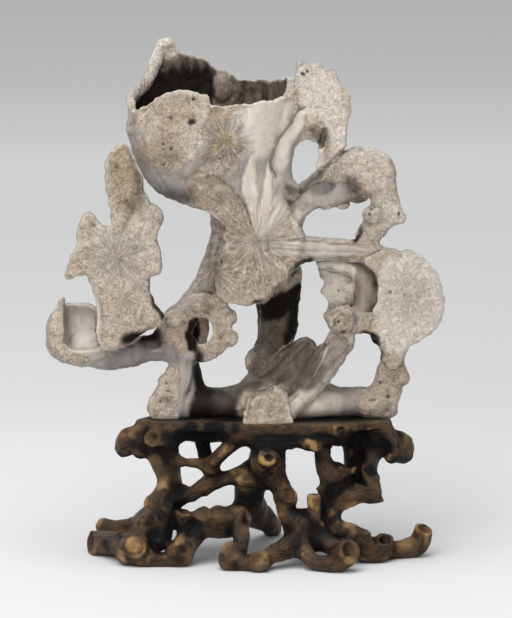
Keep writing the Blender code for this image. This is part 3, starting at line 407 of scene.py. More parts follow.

# Painted zones on the stone: the masks with their values, softness, outline; later ones lie over
# earlier ones. A shade value is painted shade, for recesses, undersides and sides that the light misses
ZONES = {
    "cup_low_smooth": ({"crust": 0.1}, 10, [(128, 146), (150, 172), (176, 176), (192, 172), (188, 204),
        (160, 204), (138, 182)]),
    "cup_middle_smooth": ({"crust": 0.1}, 12, [(246, 104), (290, 100), (293, 118), (280, 138), (270, 152),
        (270, 178), (290, 192), (284, 205), (262, 200), (240, 205), (232, 184), (240, 150)]),
    "funnel_smooth": ({"crust": 0.0}, 3, [(303, 112), (290, 126), (275, 152), (272, 168), (280, 186),
        (292, 196), (322, 172), (324, 150), (316, 140), (306, 136), (306, 122)]),
    "arm_smooth": ({"crust": 0.0}, 4, [(290, 226), (297, 200), (318, 182), (348, 184), (356, 200),
        (338, 206), (312, 210), (302, 226), (304, 238), (296, 238)]),
    "stem_smooth": ({"crust": 0.1}, 3, [(206, 212), (218, 214), (219, 240), (216, 262), (214, 284),
        (196, 300), (176, 312), (150, 312), (185, 300), (202, 280), (210, 250)]),
    "column_smooth": ({"crust": 0.0}, 3, [(182, 354), (204, 350), (214, 386), (262, 384), (262, 418),
        (184, 418), (180, 390)]),
    "arm_low_smooth": ({"crust": 0.0}, 4, [(98, 356), (128, 346), (170, 344), (178, 366), (150, 364),
        (110, 372), (74, 371)]),
    "scoop_smooth": ({"crust": 0.25}, 3, [(65, 298), (102, 298), (102, 352), (84, 356), (70, 352),
        (65, 340)]),
    "base_smooth": ({"crust": 0.1}, 3, [(292, 388), (336, 384), (378, 398), (380, 420), (290, 420)]),
    "cup_low_dark": ({"shade": 0.6}, 10, [(140, 176), (160, 186), (190, 190), (196, 206), (160, 206),
        (146, 192)]),
    "finger_brown": ({"stain": 0.85}, 5, [(108, 148), (132, 146), (146, 190), (140, 212), (122, 238),
        (118, 238), (122, 200), (110, 176)]),
    "finger_dark": ({"shade": 0.42}, 6, [(130, 150), (138, 158), (147, 196), (140, 208), (128, 226),
        (126, 214), (134, 190)]),
    "leaf_pale": ({"pale": 0.5}, 10, [(96, 216), (140, 212), (160, 240), (158, 268), (128, 290), (104, 290),
        (92, 262)]),
    "cup_crust_brown": ({"stain": 0.6}, 6, [(154, 142), (178, 140), (182, 162), (158, 166)]),
    "cup_crust_tan": ({"stain": 0.3}, 9, [(150, 108), (164, 98), (186, 102), (176, 130), (154, 134)]),
    "cup_white_left": ({"pale": 0.55}, 7, [(196, 104), (210, 106), (206, 136), (192, 168), (186, 150)]),
    "cup_middle_pale": ({"pale": 0.62}, 7, [(250, 106), (292, 102), (280, 140), (272, 152), (262, 160),
        (248, 156)]),
    "ear_pale": ({"pale": 0.85}, 9, [(296, 70), (324, 72), (344, 96), (348, 140), (334, 152), (322, 126),
        (300, 110)]),
    "arm_pale": ({"pale": 0.6}, 12, [(340, 152), (384, 152), (394, 190), (398, 224), (372, 240), (372, 190),
        (346, 172)]),
    "funnel_pale": ({"pale": 0.55}, 4, [(300, 116), (306, 130), (292, 146), (286, 168), (278, 172),
        (276, 150)]),
    "funnel_dark": ({"shade": 0.6}, 3, [(284, 184), (300, 186), (322, 168), (326, 174), (300, 194),
        (286, 192)]),
    "arm_under_dark": ({"shade": 0.85}, 3, [(352, 200), (366, 201), (371, 208), (366, 228), (356, 243),
        (351, 240), (362, 222), (362, 208)]),
    "arm_tip_pale": ({"pale": 0.8}, 4, [(388, 206), (406, 208), (406, 222), (392, 224)]),
    "disc_under_dark": ({"shade": 0.9}, 3, [(360, 330), (376, 334), (386, 362), (376, 362), (368, 344)]),
    "face_under_dark": ({"shade": 0.8}, 3, [(288, 282), (296, 262), (326, 256), (350, 258), (326, 264),
        (300, 270)]),
    "ring_brown": ({"stain": 0.5}, 5, [(160, 312), (200, 300), (230, 306), (226, 350), (200, 358),
        (162, 344)]),
    "ring_dark_left": ({"shade": 1.0}, 2.5, [(188, 322), (199, 320), (198, 348), (188, 350)]),
    "column_dark": ({"shade": 1.0}, 5, [(195, 354), (202, 352), (212, 384), (232, 396), (234, 420),
        (192, 420), (193, 390)]),
    "arm_low_black": ({"shade": 1.0}, 6, [(126, 334), (158, 330), (162, 350), (140, 356), (126, 350)]),
    "arm_low_dark": ({"shade": 0.4}, 6, [(110, 350), (170, 342), (176, 364), (110, 374)]),
    "leaf_edge_dark": ({"shade": 0.8}, 2.5, [(148, 286), (156, 296), (168, 318), (162, 320), (152, 304)]),
    "scoop_white": ({"pale": 0.55}, 8, [(72, 318), (98, 316), (102, 348), (74, 352)]),
    "stem_dark": ({"shade": 0.3}, 6, [(206, 222), (224, 236), (222, 284), (206, 304), (190, 300),
        (204, 270)]),
    "scoop_light": ({"shade": 0.0}, 3, [(62, 296), (104, 296), (106, 356), (74, 358), (62, 346)]),
    "cup_peak_pale": ({"pale": 0.85}, 4, [(154, 38), (172, 38), (176, 56), (166, 74), (152, 84),
        (146, 74)]),
    "wedge_smooth": ({"crust": 0.1}, 3, [(240, 150), (290, 150), (288, 206), (276, 226), (262, 240),
        (256, 234), (248, 212)]),
    "cup_edge_smooth": ({"crust": 0.3}, 9, [(126, 112), (138, 112), (140, 132), (150, 160), (172, 172),
        (192, 160), (202, 134), (207, 104), (216, 106), (212, 150), (194, 180), (160, 182), (134, 150)]),
    "cup_star_tan": ({"stain": 0.4}, 8, [(210, 106), (236, 106), (232, 128), (212, 136)]),
    "knob_skin": ({"pale": 0.1}, 3, [(330, 312), (346, 306), (358, 314), (360, 330), (340, 338),
        (326, 328)]),
    "knob_brown": ({"stain": 0.55}, 5, [(328, 314), (344, 310), (352, 318), (348, 332), (334, 334)]),
    "hanging_limb": ({"shade": 0.6, "stain": 0.7}, 6, [(246, 308), (262, 306), (298, 288), (304, 320),
        (294, 348), (276, 376), (246, 380), (250, 356)]),
    "hanging_side": ({"shade": 0.92}, 3, [(293, 292), (302, 296), (294, 350), (276, 372), (272, 366),
        (286, 338)]),
    "ear_hollow": ({"shade": 0.5, "stain": 0.8}, 6, [(308, 132), (320, 129), (330, 140), (324, 155),
        (316, 144)]),
    "arm_hollow": ({"shade": 0.5, "stain": 0.7}, 7, [(345, 177), (360, 179), (364, 203), (347, 203)]),
    "base": ({"shade": 0.26, "stain": 0.35}, 6, [(334, 388), (372, 384), (376, 420), (336, 420)]),
    "face": ({"stain": 0.6}, 9, [(206, 218), (232, 222), (244, 244), (262, 262), (290, 264), (300, 262),
        (292, 288), (256, 306), (216, 302), (204, 290)]),
    "face_rays": ({"pale": 0.4, "stain": 0.3}, 9, [(244, 226), (252, 210), (286, 208), (298, 232),
        (282, 256), (262, 262), (246, 256)]),
    "boss": ({"stain": 0.5}, 5, [(186, 178), (214, 176), (244, 196), (252, 228), (222, 226), (192, 206)]),
    "boss_green": ({"stain": 0.85}, 7, [(212, 192), (224, 194), (222, 208), (212, 206)]),
    "cross_end": ({"stain": 0.5}, 6, [(340, 244), (398, 246), (398, 262), (370, 262), (344, 258)]),
    "band": ({"crust": 0.0, "stain": 0.77, "shade": 0.2}, 3, [(316, 256), (350, 258), (366, 266),
        (382, 284), (378, 306), (362, 316), (350, 312), (354, 284), (340, 268), (316, 266)]),
    "band_edge_dark": ({"shade": 0.9}, 3, [(374, 276), (382, 284), (380, 304), (374, 300)]),
    "plate": ({"shade": 0.0, "crust": 0.3, "pale": 1.3}, 3, [(314, 260), (350, 264), (354, 296), (342, 303),
        (326, 304), (316, 288)]),
    "blade": ({"crust": 0.05, "stain": 0.72, "shade": 0.62}, 6, [(226, 386), (262, 370), (292, 342),
        (300, 336), (320, 338), (322, 352), (282, 394), (240, 402)]),
    "channel": ({"shade": 0.8}, 5, [(284, 398), (296, 378), (312, 356), (326, 342), (322, 360),
        (304, 388)]),
    "ridge": ({"crust": 0.1, "stain": 0.7, "shade": 0.62}, 6, [(326, 338), (346, 344), (314, 390),
        (294, 404), (288, 394), (306, 366)]),
    "ridge_top": ({"shade": 0.3, "stain": 0.5}, 5, [(326, 336), (350, 342), (336, 362), (322, 362)]),
    "sweep": ({"shade": 0.74, "stain": 0.5, "crust": 0.1}, 7, [(214, 390), (240, 392), (264, 386),
        (262, 420), (214, 420)]),
    "foot": ({"crust": 1.25, "stain": 0.4, "shade": 0.04}, 5, [(366, 360), (412, 360), (410, 420),
        (364, 420), (362, 392)]),
    "cross": ({"crust": 0.15, "pale": 0.35}, 3, [(270, 238), (300, 240), (340, 243), (374, 246), (376, 254),
        (340, 257), (300, 258), (272, 254)]),
    "cup_left_crust": ({"crust": 0.66}, 13, [(146, 104), (158, 95), (176, 91), (196, 98), (205, 100),
        (200, 122), (192, 140), (182, 162), (164, 168), (150, 156), (142, 134), (140, 116)]),
    "wedge_three_pale": ({"pale": 0.6}, 3, [(277, 196), (288, 204), (280, 220), (266, 238), (265, 228),
        (272, 212)]),
    "wedge_four_pale": ({"pale": 0.6}, 3, [(290, 206), (300, 214), (292, 228), (270, 240), (280, 224)]),
    "cup_star_ochre": ({"stain": 0.88}, 8, [(210, 136), (224, 128), (242, 134), (240, 150), (222, 156),
        (202, 168), (198, 160), (208, 148)]),
    "hanging_top": ({"shade": 0.97}, 4, [(254, 303), (270, 299), (300, 284), (296, 302), (280, 318),
        (262, 318)]),
    "disc_pale": ({"pale": 1.25, "shade": 0.0}, 8, [(384, 262), (414, 254), (446, 280), (444, 322),
        (410, 352), (382, 342), (376, 300)]),
    "base_glow": ({"pale": 0.7}, 4, [(292, 408), (302, 402), (306, 410), (302, 420), (292, 420)]),
    "arm_bowl_dark": ({"shade": 0.45}, 7, [(316, 182), (333, 180), (333, 194), (322, 200), (312, 194)]),
    "base_pale": ({"pale": 0.5, "shade": 0.06}, 5, [(290, 396), (336, 390), (336, 420), (290, 420)]),
    "base_streak": ({"pale": 0.95}, 3, [(316, 396), (322, 408), (320, 420), (304, 420), (310, 408)]),
    "arm_down": ({"shade": 0.16}, 5, [(372, 190), (392, 188), (398, 206), (390, 222), (366, 232),
        (362, 216)]),
    "stem_low": ({"shade": 0.14}, 6, [(182, 296), (200, 292), (202, 312), (184, 318)]),
    "cup_star_white": ({"pale": 1.3}, 5, [(232, 116), (248, 112), (248, 132), (238, 144), (230, 136)]),
    "wedge_one": ({"pale": 0.72}, 2, [(253, 154), (257, 178), (259, 205), (259, 238), (254, 226),
        (248, 206), (241, 188), (246, 170)]),
    "wedge_two": ({"pale": 0.72}, 2, [(268, 160), (272, 184), (272, 206), (263, 238), (260, 215),
        (261, 202), (264, 182)]),
    "front_foot": ({"crust": 1.0, "stain": 0.4, "shade": 0.14}, 3, [(240, 398), (256, 390), (280, 384),
        (286, 396), (288, 412), (286, 428), (240, 428)]),
}

# Small pits pressed into the front, darkened with painted shade: place, radius, depth
PITS = [((193, 124), 5.0, 3.0), ((194, 101), 3.0, 1.6), ((171, 120), 1.8, 1.0), ((164, 146), 2.6, 1.2),
        ((172, 150), 2.4, 1.2), ((165, 166), 2.0, 1.0), ((369, 214), 2.4, 1.6), ((399, 214), 2.0, 1.4),
        ((337, 322), 2.4, 2.0), ((303, 75), 3.0, 2.2), ((308, 72), 2.0, 1.6), ((390, 292), 2.2, 1.2),
        ((338, 292), 2.0, 1.0), ((220, 160), 2.2, 0.8), ((214, 176), 2.0, 0.8), ((380, 382), 2.6, 1.6),
        ((388, 396), 2.4, 1.4), ((166, 382), 2.2, 1.2), ((160, 402), 2.0, 1.0), ((222, 262), 2.4, 1.0)]

# Raised crusts of softer stone over the smooth wall: height, softness, outline
RAISED_CRUSTS = {
    "cup_left": (0.8, 5.0, [(120, 100), (142, 110), (150, 102), (158, 93), (175, 88), (196, 94), (212, 96),
        (208, 120), (200, 142), (190, 162), (188, 176), (168, 168), (146, 158), (128, 140), (116, 120)]),
    "boss": (1.7, 3.0, [(189, 202), (187, 188), (189, 179), (196, 174), (207, 173), (216, 178), (228, 185),
        (238, 192), (248, 208), (252, 226), (240, 232), (222, 224), (206, 214)]),
    "ear": (1.6, 1.8, [(298, 114), (312, 112), (330, 60), (360, 80), (360, 150), (332, 170), (318, 170),
        (318, 146), (308, 136), (302, 132)]),
    "knob": (1.4, 2.5, [(362, 140), (400, 146), (410, 225), (376, 232), (372, 205), (362, 180)]),
    "ring": (1.2, 2.0, [(150, 310), (186, 304), (205, 296), (236, 306), (238, 350), (205, 362), (188, 360),
        (188, 420), (140, 420), (150, 372), (172, 362), (150, 340)]),
    "front_foot": (1.6, 1.8, [(238, 430), (246, 408), (256, 396), (270, 386), (284, 388), (293, 398),
        (290, 430)]),
}

# Spots of the stand rubbed golden, brightened as painted highlight where they face up, and spots of
# nearly black painted shade: place, radius, strength
GOLD_SPOTS = [((156, 462), 9, 0.9), ((163, 476), 7, 0.6), ((118, 438), 9, 0.6), ((408, 448), 8, 0.7),
              ((430, 536), 9, 0.8), ((224, 452), 6, 0.8), ((190, 478), 7, 0.6), ((282, 484), 7, 0.6),
              ((134, 543), 10, 0.7), ((180, 539), 7, 0.7), ((227, 546), 9, 0.6), ((141, 457), 6, 0.8),
              ((311, 445), 7, 1.0), ((148, 470), 8, 0.7), ((156, 488), 7, 0.6), ((145, 503), 5, 0.7),
              ((384, 502), 4, 0.8), ((368, 532), 4, 0.8), ((355, 471), 5, 0.7), ((318, 488), 4, 0.7),
              ((314, 504), 9, 0.6), ((331, 512), 6, 0.7), ((336, 528), 8, 0.6), ((126, 446), 6, 0.5),
              ((259, 557), 9, 0.8), ((404, 440), 8, 0.4), ((392, 462), 6, 0.4), ((268, 474), 10, 0.5),
              ((205, 515), 8, 0.4), ((246, 480), 10, 0.6), ((405, 546), 12, 0.5), ((346, 556), 10, 0.5),
              ((166, 548), 12, 0.5), ((236, 556), 9, 0.4), ((260, 434), 14, 0.3), ((226, 452), 8, 0.5),
              ((374, 462), 8, 0.5), ((138, 436), 12, 0.6), ((416, 436), 10, 0.6), ((160, 484), 9, 0.7),
              ((352, 498), 9, 0.4), ((300, 530), 9, 0.4), ((240, 510), 9, 0.4)]
SHADE_SPOTS = [((372, 470), 9, 0.9), ((180, 560), 9, 0.5), ((254, 496), 9, 0.7), ((244, 520), 8, 0.7),
              ((104, 546), 8, 0.6), ((350, 478), 8, 0.6), ((162, 516), 9, 0.6), ((268, 446), 6, 0.5),
              ((383, 446), 13, 0.9), ((172, 446), 8, 0.8), ((190, 430), 14, 1.0), ((214, 430), 16, 1.0),
              ((236, 428), 10, 0.8), ((205, 446), 8, 0.9), ((244, 440), 7, 0.7), ((296, 446), 8, 0.7),
              ((346, 440), 14, 1.0), ((364, 440), 16, 1.0), ((360, 458), 12, 0.9), ((262, 500), 9, 0.8),
              ((200, 532), 9, 0.8), ((320, 548), 9, 0.8), ((236, 566), 6, 0.5), ((172, 500), 14, 0.6),
              ((150, 520), 9, 0.6), ((286, 528), 9, 0.5), ((300, 460), 8, 0.5), ((120, 536), 8, 0.6)]

# Noises by name: kind, period in squares, seed, and number of layers or, for pits, radius
NOISES = {
    "plate_edge": ("layered", 14.0, 3, 1),
    "plate_nicks": ("layered", 6.0, 4, 1),
    "stone_swell": ("layered", 34.0, 11, 2),
    "crust_lumps": ("layered", 10.0, 21, 3),
    "crust_ridges": ("ridged", 13.0, 31, 2),
    "crust_pits": ("pits", 12.0, 37, 3.4),
    "crust_grain": ("layered", 3.6, 39, 1),
    "wall_swell": ("layered", 17.0, 41, 2),
    "back_dents": ("pits", 24.0, 51, 9.0),
    "wander_across": ("layered", 9.0, 61, 2),
    "wander_down": ("layered", 9.0, 65, 2),
    "back_crust": ("layered", 30.0, 71, 3),
    "crease_breaks": ("layered", 14.0, 85, 1),
    "cup_streaks": ("layered", 3.0, 91, 1),
    "stray_pale": ("layered", 40.0, 95, 3),
    "stray_stain": ("layered", 36.0, 99, 3),
    "wood_swell": ("layered", 22.0, 111, 2),
    "wood_lumps": ("layered", 8.0, 115, 2),
    "wood_furrows": ("ridged", 4.5, 121, 1),
    "wood_knots": ("pits", 22.0, 125, 6.0),
    "wear_edge": ("layered", 20.0, 131, 3),
    "wear_patches": ("layered", 30.0, 135, 2),
    "gold_patches": ("layered", 12.0, 137, 2),
}
LATTICE_SIDE = 32

# Half sizes of the boxes, in squares, in which the material about a place is measured: near, wide
STONE_REACHES = (3.0, 11.0)
WOOD_REACHES = (3.5, 13.0)

# How far, in squares, noise moves the outlines of the stone's relief, its paint and the wood's paint
RELIEF_WANDER = 1.6
PAINT_WANDER = 2.2
WOOD_WANDER = 3.0

# How far forward a face of the stone looks where its crust comes on: from none to all
RELIEF_FACING = (-0.45, 0.3)
PAINT_FACING = (0.35, 0.75)

# Small squares of the sheet in which the surface met first is looked for: size, number each way
VIEW_CELL = 3.0
VIEW_CELLS = 220

# Colours of the stone, the wood and the floor, as linear light
SKIN_LIGHT = (0.68, 0.575, 0.465)
SKIN_MID = (0.52, 0.41, 0.305)
SKIN_LILAC = (0.52, 0.46, 0.425)
SKIN_BROWN = (0.25, 0.185, 0.13)
ROSE_BROWN = (0.3, 0.215, 0.175)
SMOOTH_GREY = (0.4, 0.375, 0.345)
COOL_GREY = (0.255, 0.235, 0.225)
PALE = (0.76, 0.69, 0.597)
OCHRE = (0.54, 0.41, 0.2)
TAN = (0.4, 0.3, 0.2)
RUST = (0.24, 0.175, 0.12)
BROWN = (0.13, 0.088, 0.056)
DARK_BROWN = (0.05, 0.034, 0.024)
# Near black of the painted shade on the stone
SHADE_BLACK = (0.011, 0.007, 0.0045)
WORN_STONE = (0.63, 0.56, 0.475)
DUST = (0.5, 0.46, 0.4)
WOOD_DARK = (0.009, 0.0056, 0.0036)
WOOD_BROWN = (0.072, 0.047, 0.028)
WOOD_RED = (0.1, 0.04, 0.018)
WOOD_TAN = (0.19, 0.112, 0.047)
WOOD_GOLD = (0.4, 0.235, 0.092)
# Near black of the painted shade on the wood
WOOD_BLACK = (0.004, 0.0028, 0.002)

# Shine of the stone and the wood, roughness of the paper, and heights of their bumps, in metres
STONE_SHINE = 0.15
WOOD_SHINE = 0.17
PAPER_ROUGHNESS = 0.95
LUMP_HEIGHT = 0.0036
RAY_HEIGHT = 0.0007
GRIT_HEIGHT = 0.0009
FIBRE_HEIGHT = 0.0014
GRAIN_HEIGHT = 0.0005

# Floor: distance from the object in metres, tone, the tones painting how the light falls off; then its
# half size and its points each way
FLOOR_LIGHT_TONES = [(0.0, 0.74), (0.22, 0.74), (0.41, 0.76), (0.61, 0.72), (1.0, 0.755), (1.39, 0.805),
               (1.7, 0.885), (2.15, 0.79), (5.0, 0.65)]
FLOOR_REACH = 14.0
FLOOR_POINTS = 41

# Lights: name, position, size, power, colour; then where they aim and the light from all round
LIGHTS = [("top_light", (-0.3, -0.5, 2.0), 2.0, 33.0, (0.97, 0.98, 1.0)),
          ("front_light", (-0.8, -2.6, 1.6), 2.0, 37.0, (1.0, 0.98, 0.95))]
LIGHT_AIM = (0.0, 0.0, 0.18)
SKY = (1.0, 1.0, 1.0)
SKY_STRENGTH = 0.45

# Camera: distance and far limit in metres, film height in millimetres, sheet's width and height
CAMERA_DISTANCE = 6.0
CAMERA_FAR = 60.0
FILM_HEIGHT = 36.0
SHEET_SIZE = (512, 618)


# ---------------------------------------------------------------------------------------------
# Sheet, curves and blocks
def place(across, down, depth):
    """Sheet point to squares: x right, y away from the viewer, z up from the floor."""
    up = (FLOOR_ROW - down - depth * TILT_SIN) / TILT_COS
    return np.array([across - CENTRE_COLUMN, depth - CENTRE_DEPTH, up])


def sheet_view(points):
    """Squares to the sheet as the viewer sees it: across and down."""
    depth = points[:, 1] + CENTRE_DEPTH
    return points[:, 0] + CENTRE_COLUMN, FLOOR_ROW - points[:, 2] * TILT_COS - depth * TILT_SIN


def row_of(level):
    """Row of the sheet for a level in squares, at the depth where the sheet stands."""
    return FLOOR_ROW - level * TILT_COS


def level_of(row):
    """Level in squares for a row of the sheet: the reverse of row_of."""
    return (FLOOR_ROW - row) / TILT_COS


def soft_least(first, second, blend):
    """The smaller of two distances, rounded where they are within blend of each other:
    min(a, b) less a quarter of blend times the square of (blend - |a - b|) / blend."""
    share = np.maximum(blend - np.abs(first - second), 0.0) / blend
    return np.minimum(first, second) - share * share * blend * 0.25


def ease(value, low, high):
    """Rises smoothly from 0 at low to 1 at high: 3t squared less 2t cubed of the clamped share t."""
    share = np.clip((value - low) / (high - low), 0.0, 1.0)
    return share * share * (3.0 - 2.0 * share)


def mix(first, second, share):
    """First moved toward second by a share."""
    return first + (second - first) * share


def cubic(before, start, end, after, t):
    """Curve from start to end whose end slopes are half the step between the neighbours."""
    return 0.5 * (2 * start + (end - before) * t + (2 * before - 5 * start + 4 * end - after) * t**2
                  + (3 * start - before - 3 * end + after) * t**3)


def smooth_path(points, spacing=4.0):
    """Open curve through rows of numbers, read at about one point every spacing."""
    rows = np.array(points, float)
    if len(rows) == 2:
        rows = np.vstack([rows[0], rows.mean(0), rows[1]])
    padded = np.vstack([2 * rows[0] - rows[1], rows, 2 * rows[-1] - rows[-2]])
    spans = []
    for before, start, end, after in zip(padded, padded[1:], padded[2:], padded[3:]):
        count = max(int(np.linalg.norm((end - start)[:3]) / spacing), 1)
        spans.append(cubic(before, start, end, after, (np.arange(count) / count)[:, None]))
    return np.vstack([*spans, rows[-1:]])


def closed_curve(points, steps=5):
    """Closed curve through points, by the same cubic, with so many steps to a span."""
    rows = np.array(points, float)
    before, start, end, after = (np.roll(rows, shift, axis=0)[:, None] for shift in (1, 0, -1, -2))
    return cubic(before, start, end, after, (np.arange(steps) / steps)[None, :, None]).reshape(-1, 2)


def limb_path(points):
    """Path of a limb in squares: x, y, z and radius."""
    return smooth_path([(*place(*point[:3]), max(point[3], 0.6)) for point in points])


class Block:
    """Distances to the surface being shaped, in squares, at the points of a cubic grid."""

    def __init__(self, low, high, step):
        self.low = np.array(low, float)
        self.step = step
        self.size = np.ceil((np.array(high, float) - self.low) / step).astype(int) + 1
        self.field = np.full(self.size, EMPTY, np.float32)

    def window(self, low, high):
        """Part of the grid that covers a box: its slices, and its x, y and z as broadcast arrays."""
        first = np.clip(np.floor((np.asarray(low) - self.low) / self.step).astype(int), 0, self.size)
        last = np.clip(np.ceil((np.asarray(high) - self.low) / self.step).astype(int) + 1, 0, self.size)
        part = tuple(slice(a, b) for a, b in zip(first, last))
        axes = [(self.low[i] + self.step * np.arange(first[i], last[i])).astype(np.float32)
                for i in range(3)]
        return part, axes[0][:, None, None], axes[1][None, :, None], axes[2][None, None, :]

    def join(self, part, distance, blend):
        """Add a shape to the material."""
        self.field[part] = soft_least(self.field[part], distance, blend)

    def take(self, part, distance, blend):
        """Cut a shape out of the material."""
        self.field[part] = -soft_least(-self.field[part], distance, blend)

    def trim(self, level, side):
        """Cut away everything above a level, side 1, or below it, side -1."""
        part, _, _, z = self.window(self.low, self.low + self.size * self.step)
        self.take(part, (level - z) * side, 1.0)

    def read(self, points, field):
        """Values of a field at points, each the blend of the eight around it by nearness."""
        at = (points - self.low) / self.step
        cell = np.clip(np.floor(at).astype(int), 0, self.size - 2)
        near = np.clip(at - cell, 0.0, 1.0)
        total = np.zeros(len(points))
        for corner in np.ndindex(2, 2, 2):
            share = np.prod(np.where(corner, near, 1.0 - near), axis=1)
            i, j, k = (cell + corner).T
            total += share * field[i, j, k]
        return total

    def fullness(self, reach):
        """Share of material in a box of this half size about every grid point, by running sums
        along each axis."""
        share = (self.field < 0).astype(np.float32)
        half = max(int(round(reach / self.step)), 1)
        for axis in range(3):
            padded = np.concatenate([np.zeros_like(share.take([0], axis)).repeat(half + 1, axis), share,
                                     np.zeros_like(share.take([0], axis)).repeat(half, axis)], axis)
            running = np.cumsum(padded, axis=axis, dtype=np.float32)
            count = share.shape[axis]
            ahead = running.take(range(2 * half + 1, 2 * half + 1 + count), axis)
            behind = running.take(range(0, count), axis)
            share = (ahead - behind) / (2 * half + 1)
        return share


def add_path(block, path, flatness=1.0, face=FULL, blend=5.0, hollow=False):
    """Round limb of changing radius. Its distance is the least, over the short straight links of a
    path, of the distance to the link less the radius there, with depth divided by flatness. The
    front is worn flat where it stands further forward than the face's share of the radius."""
    reach = path[:, 3].max() + blend + MARGIN
    stretch = np.array([1.0, max(flatness, 1.0), 1.0]) * reach
    part, x, y, z = block.window(path[:, :3].min(0) - stretch, path[:, :3].max(0) + stretch)
    if 0 in (x.size, y.size, z.size):
        return
    least = np.full((x.shape[0], y.shape[1], z.shape[2]), 1e3, np.float32)
    squeeze = np.array([1.0, 1.0 / flatness, 1.0])
    y = y / flatness
    for start, end in zip(path[:-1], path[1:]):
        a, b = start[:3] * squeeze, end[:3] * squeeze
        link = b - a
        t = ((x - a[0]) * link[0] + (y - a[1]) * link[1] + (z - a[2]) * link[2]) / (link @ link + 1e-9)
        t = np.clip(t, 0.0, 1.0)
        radius = start[3] + t * (end[3] - start[3])
        away = np.sqrt((x - a[0] - t * link[0]) ** 2 + (y - a[1] - t * link[1]) ** 2
                       + (z - a[2] - t * link[2]) ** 2) - radius
        if face < 1.0:
            away = np.maximum(away, a[1] + t * link[1] - face * radius - y)
        np.minimum(least, away, out=least)
    (block.take if hollow else block.join)(part, least, blend)


def add_lump(block, centre, half_sizes, blend=5.0, power=2.0, hollow=False):
    """Lump between an ellipsoid, power 2, and a box, high powers. Its distance is q(q - 1) over the
    length of q's slope, where q is the sum of the powers of the point's offsets over the half
    sizes, to one over the power."""
    middle, half = place(*centre), np.array(half_sizes, float)
    room = blend + MARGIN
    part, x, y, z = block.window(middle - half - room, middle + half + room)
    offsets = (x - middle[0], y - middle[1], z - middle[2])
    q = sum(np.abs(o / h) ** power for o, h in zip(offsets, half)) ** (1.0 / power) + 1e-6
    slope = np.sqrt(sum((np.abs(o / h) ** (power - 1.0) / h) ** 2 for o, h in zip(offsets, half)))
    slope = slope * q ** (2.0 - power) + 1e-6
    (block.take if hollow else block.join)(part, (q * (q - 1.0) / slope).astype(np.float32), blend)


def link_square(x, y, start, end):
    """Square of the distance in a plane from points to the straight link between two others."""
    (ax, ay), (bx, by) = start, end
    dx, dy = bx - ax, by - ay
    t = np.clip(((x - ax) * dx + (y - ay) * dy) / (dx * dx + dy * dy + 1e-9), 0.0, 1.0)
    return (x - ax - t * dx) ** 2 + (y - ay - t * dy) ** 2


def outline_distance(x, z, outline):
    """Signed distance in a plane to a closed outline, below zero inside: the least distance to any
    side, and inside where a level line to the right crosses the outline an odd number of times."""
    x, z = np.broadcast_arrays(x, z)
    least = np.full(x.shape, 1e9)
    inside = np.zeros(x.shape, bool)
    for start, end in zip(outline, np.roll(outline, -1, axis=0)):
        np.minimum(least, link_square(x, z, start, end), out=least)
        (ax, az), (bx, bz) = start, end
        if az != bz:
            inside ^= ((az > z) != (bz > z)) & (x < (bx - ax) * (z - az) / (bz - az) + ax)
    return np.where(inside, -np.sqrt(least), np.sqrt(least))


def line_distance(across, down, points):
    """Distance on the sheet to a smooth open line: the least distance to any of its links."""
    rows = smooth_path([(*point, 0.0) for point in points], 5.0)[:, :2]
    least = np.full(across.shape, 1e9)
    for start, end in zip(rows[:-1], rows[1:]):
        np.minimum(least, link_square(across, down, start, end), out=least)
    return np.sqrt(least)


def rounded_slab(edge, face, half_thickness, rounding):
    """Slab with rounded edges: the length of the positive parts of the distance to its outline and
    of the distance to its faces, both moved out by the rounding, less the rounding."""
    u, v = edge + rounding, np.abs(face) - half_thickness + rounding
    return (np.minimum(np.maximum(u, v), 0.0)
            + np.sqrt(np.maximum(u, 0.0) ** 2 + np.maximum(v, 0.0) ** 2) - rounding).astype(np.float32)


def add_plate(block, depth, slope_across, slope_up, thickness, rounding, blend, outline):
    """Standing plate with a ragged edge. Its middle surface lies at a depth that changes with two
    slopes, and noise moves its outline in and out."""
    flat = np.array(outline, float)
    middle = flat.mean(0)
    curve = closed_curve([place(a, d, depth + slope_across * (a - middle[0])
                                - slope_up * (d - middle[1]))[[0, 2]] for a, d in outline])
    low, high = curve.min(0), curve.max(0)
    centre = place(middle[0], middle[1], depth)
    lean = (abs(slope_across) * (high[0] - low[0]) + abs(slope_up) * (high[1] - low[1])) / 2
    room = blend + MARGIN
    deep = thickness / 2 + lean + room
    part, x, y, z = block.window((low[0] - room, centre[1] - deep, low[1] - room),
                                 (high[0] + room, centre[1] + deep, high[1] + room))
    edge = outline_distance(x[:, 0, :], z[:, 0, :], curve)
    spread = [grid.ravel() for grid in np.broadcast_arrays(x[:, 0, :], z[:, 0, :])]
    places = np.stack([spread[0], spread[1], np.full(spread[0].size, depth)], axis=1)
    ragged = noise_of("plate_edge", places) * 1.7 + noise_of("plate_nicks", places) * 1.3
    edge = (edge + ragged.reshape(edge.shape)).astype(np.float32)[:, None, :]
    face = y - centre[1] - slope_across * (x - centre[0]) - slope_up * (z - centre[2])
    block.join(part, rounded_slab(edge, face, thickness / 2, rounding), blend)


def cup_reading(rows):
    """Left, right, half depth and centre depth of the cup's oval at rows of the sheet."""
    sections = np.array(CUP_SECTIONS, float)
    return [np.interp(rows, sections[:, 0], sections[:, i]) for i in (1, 2, 3, 4)]


def cup_rim(direction):
    """Row of the cup's rim in a direction, in degrees from -180 to 180."""
    rim = np.array(CUP_RIM, float)
    return np.interp(direction, rim[:, 0], rim[:, 1])


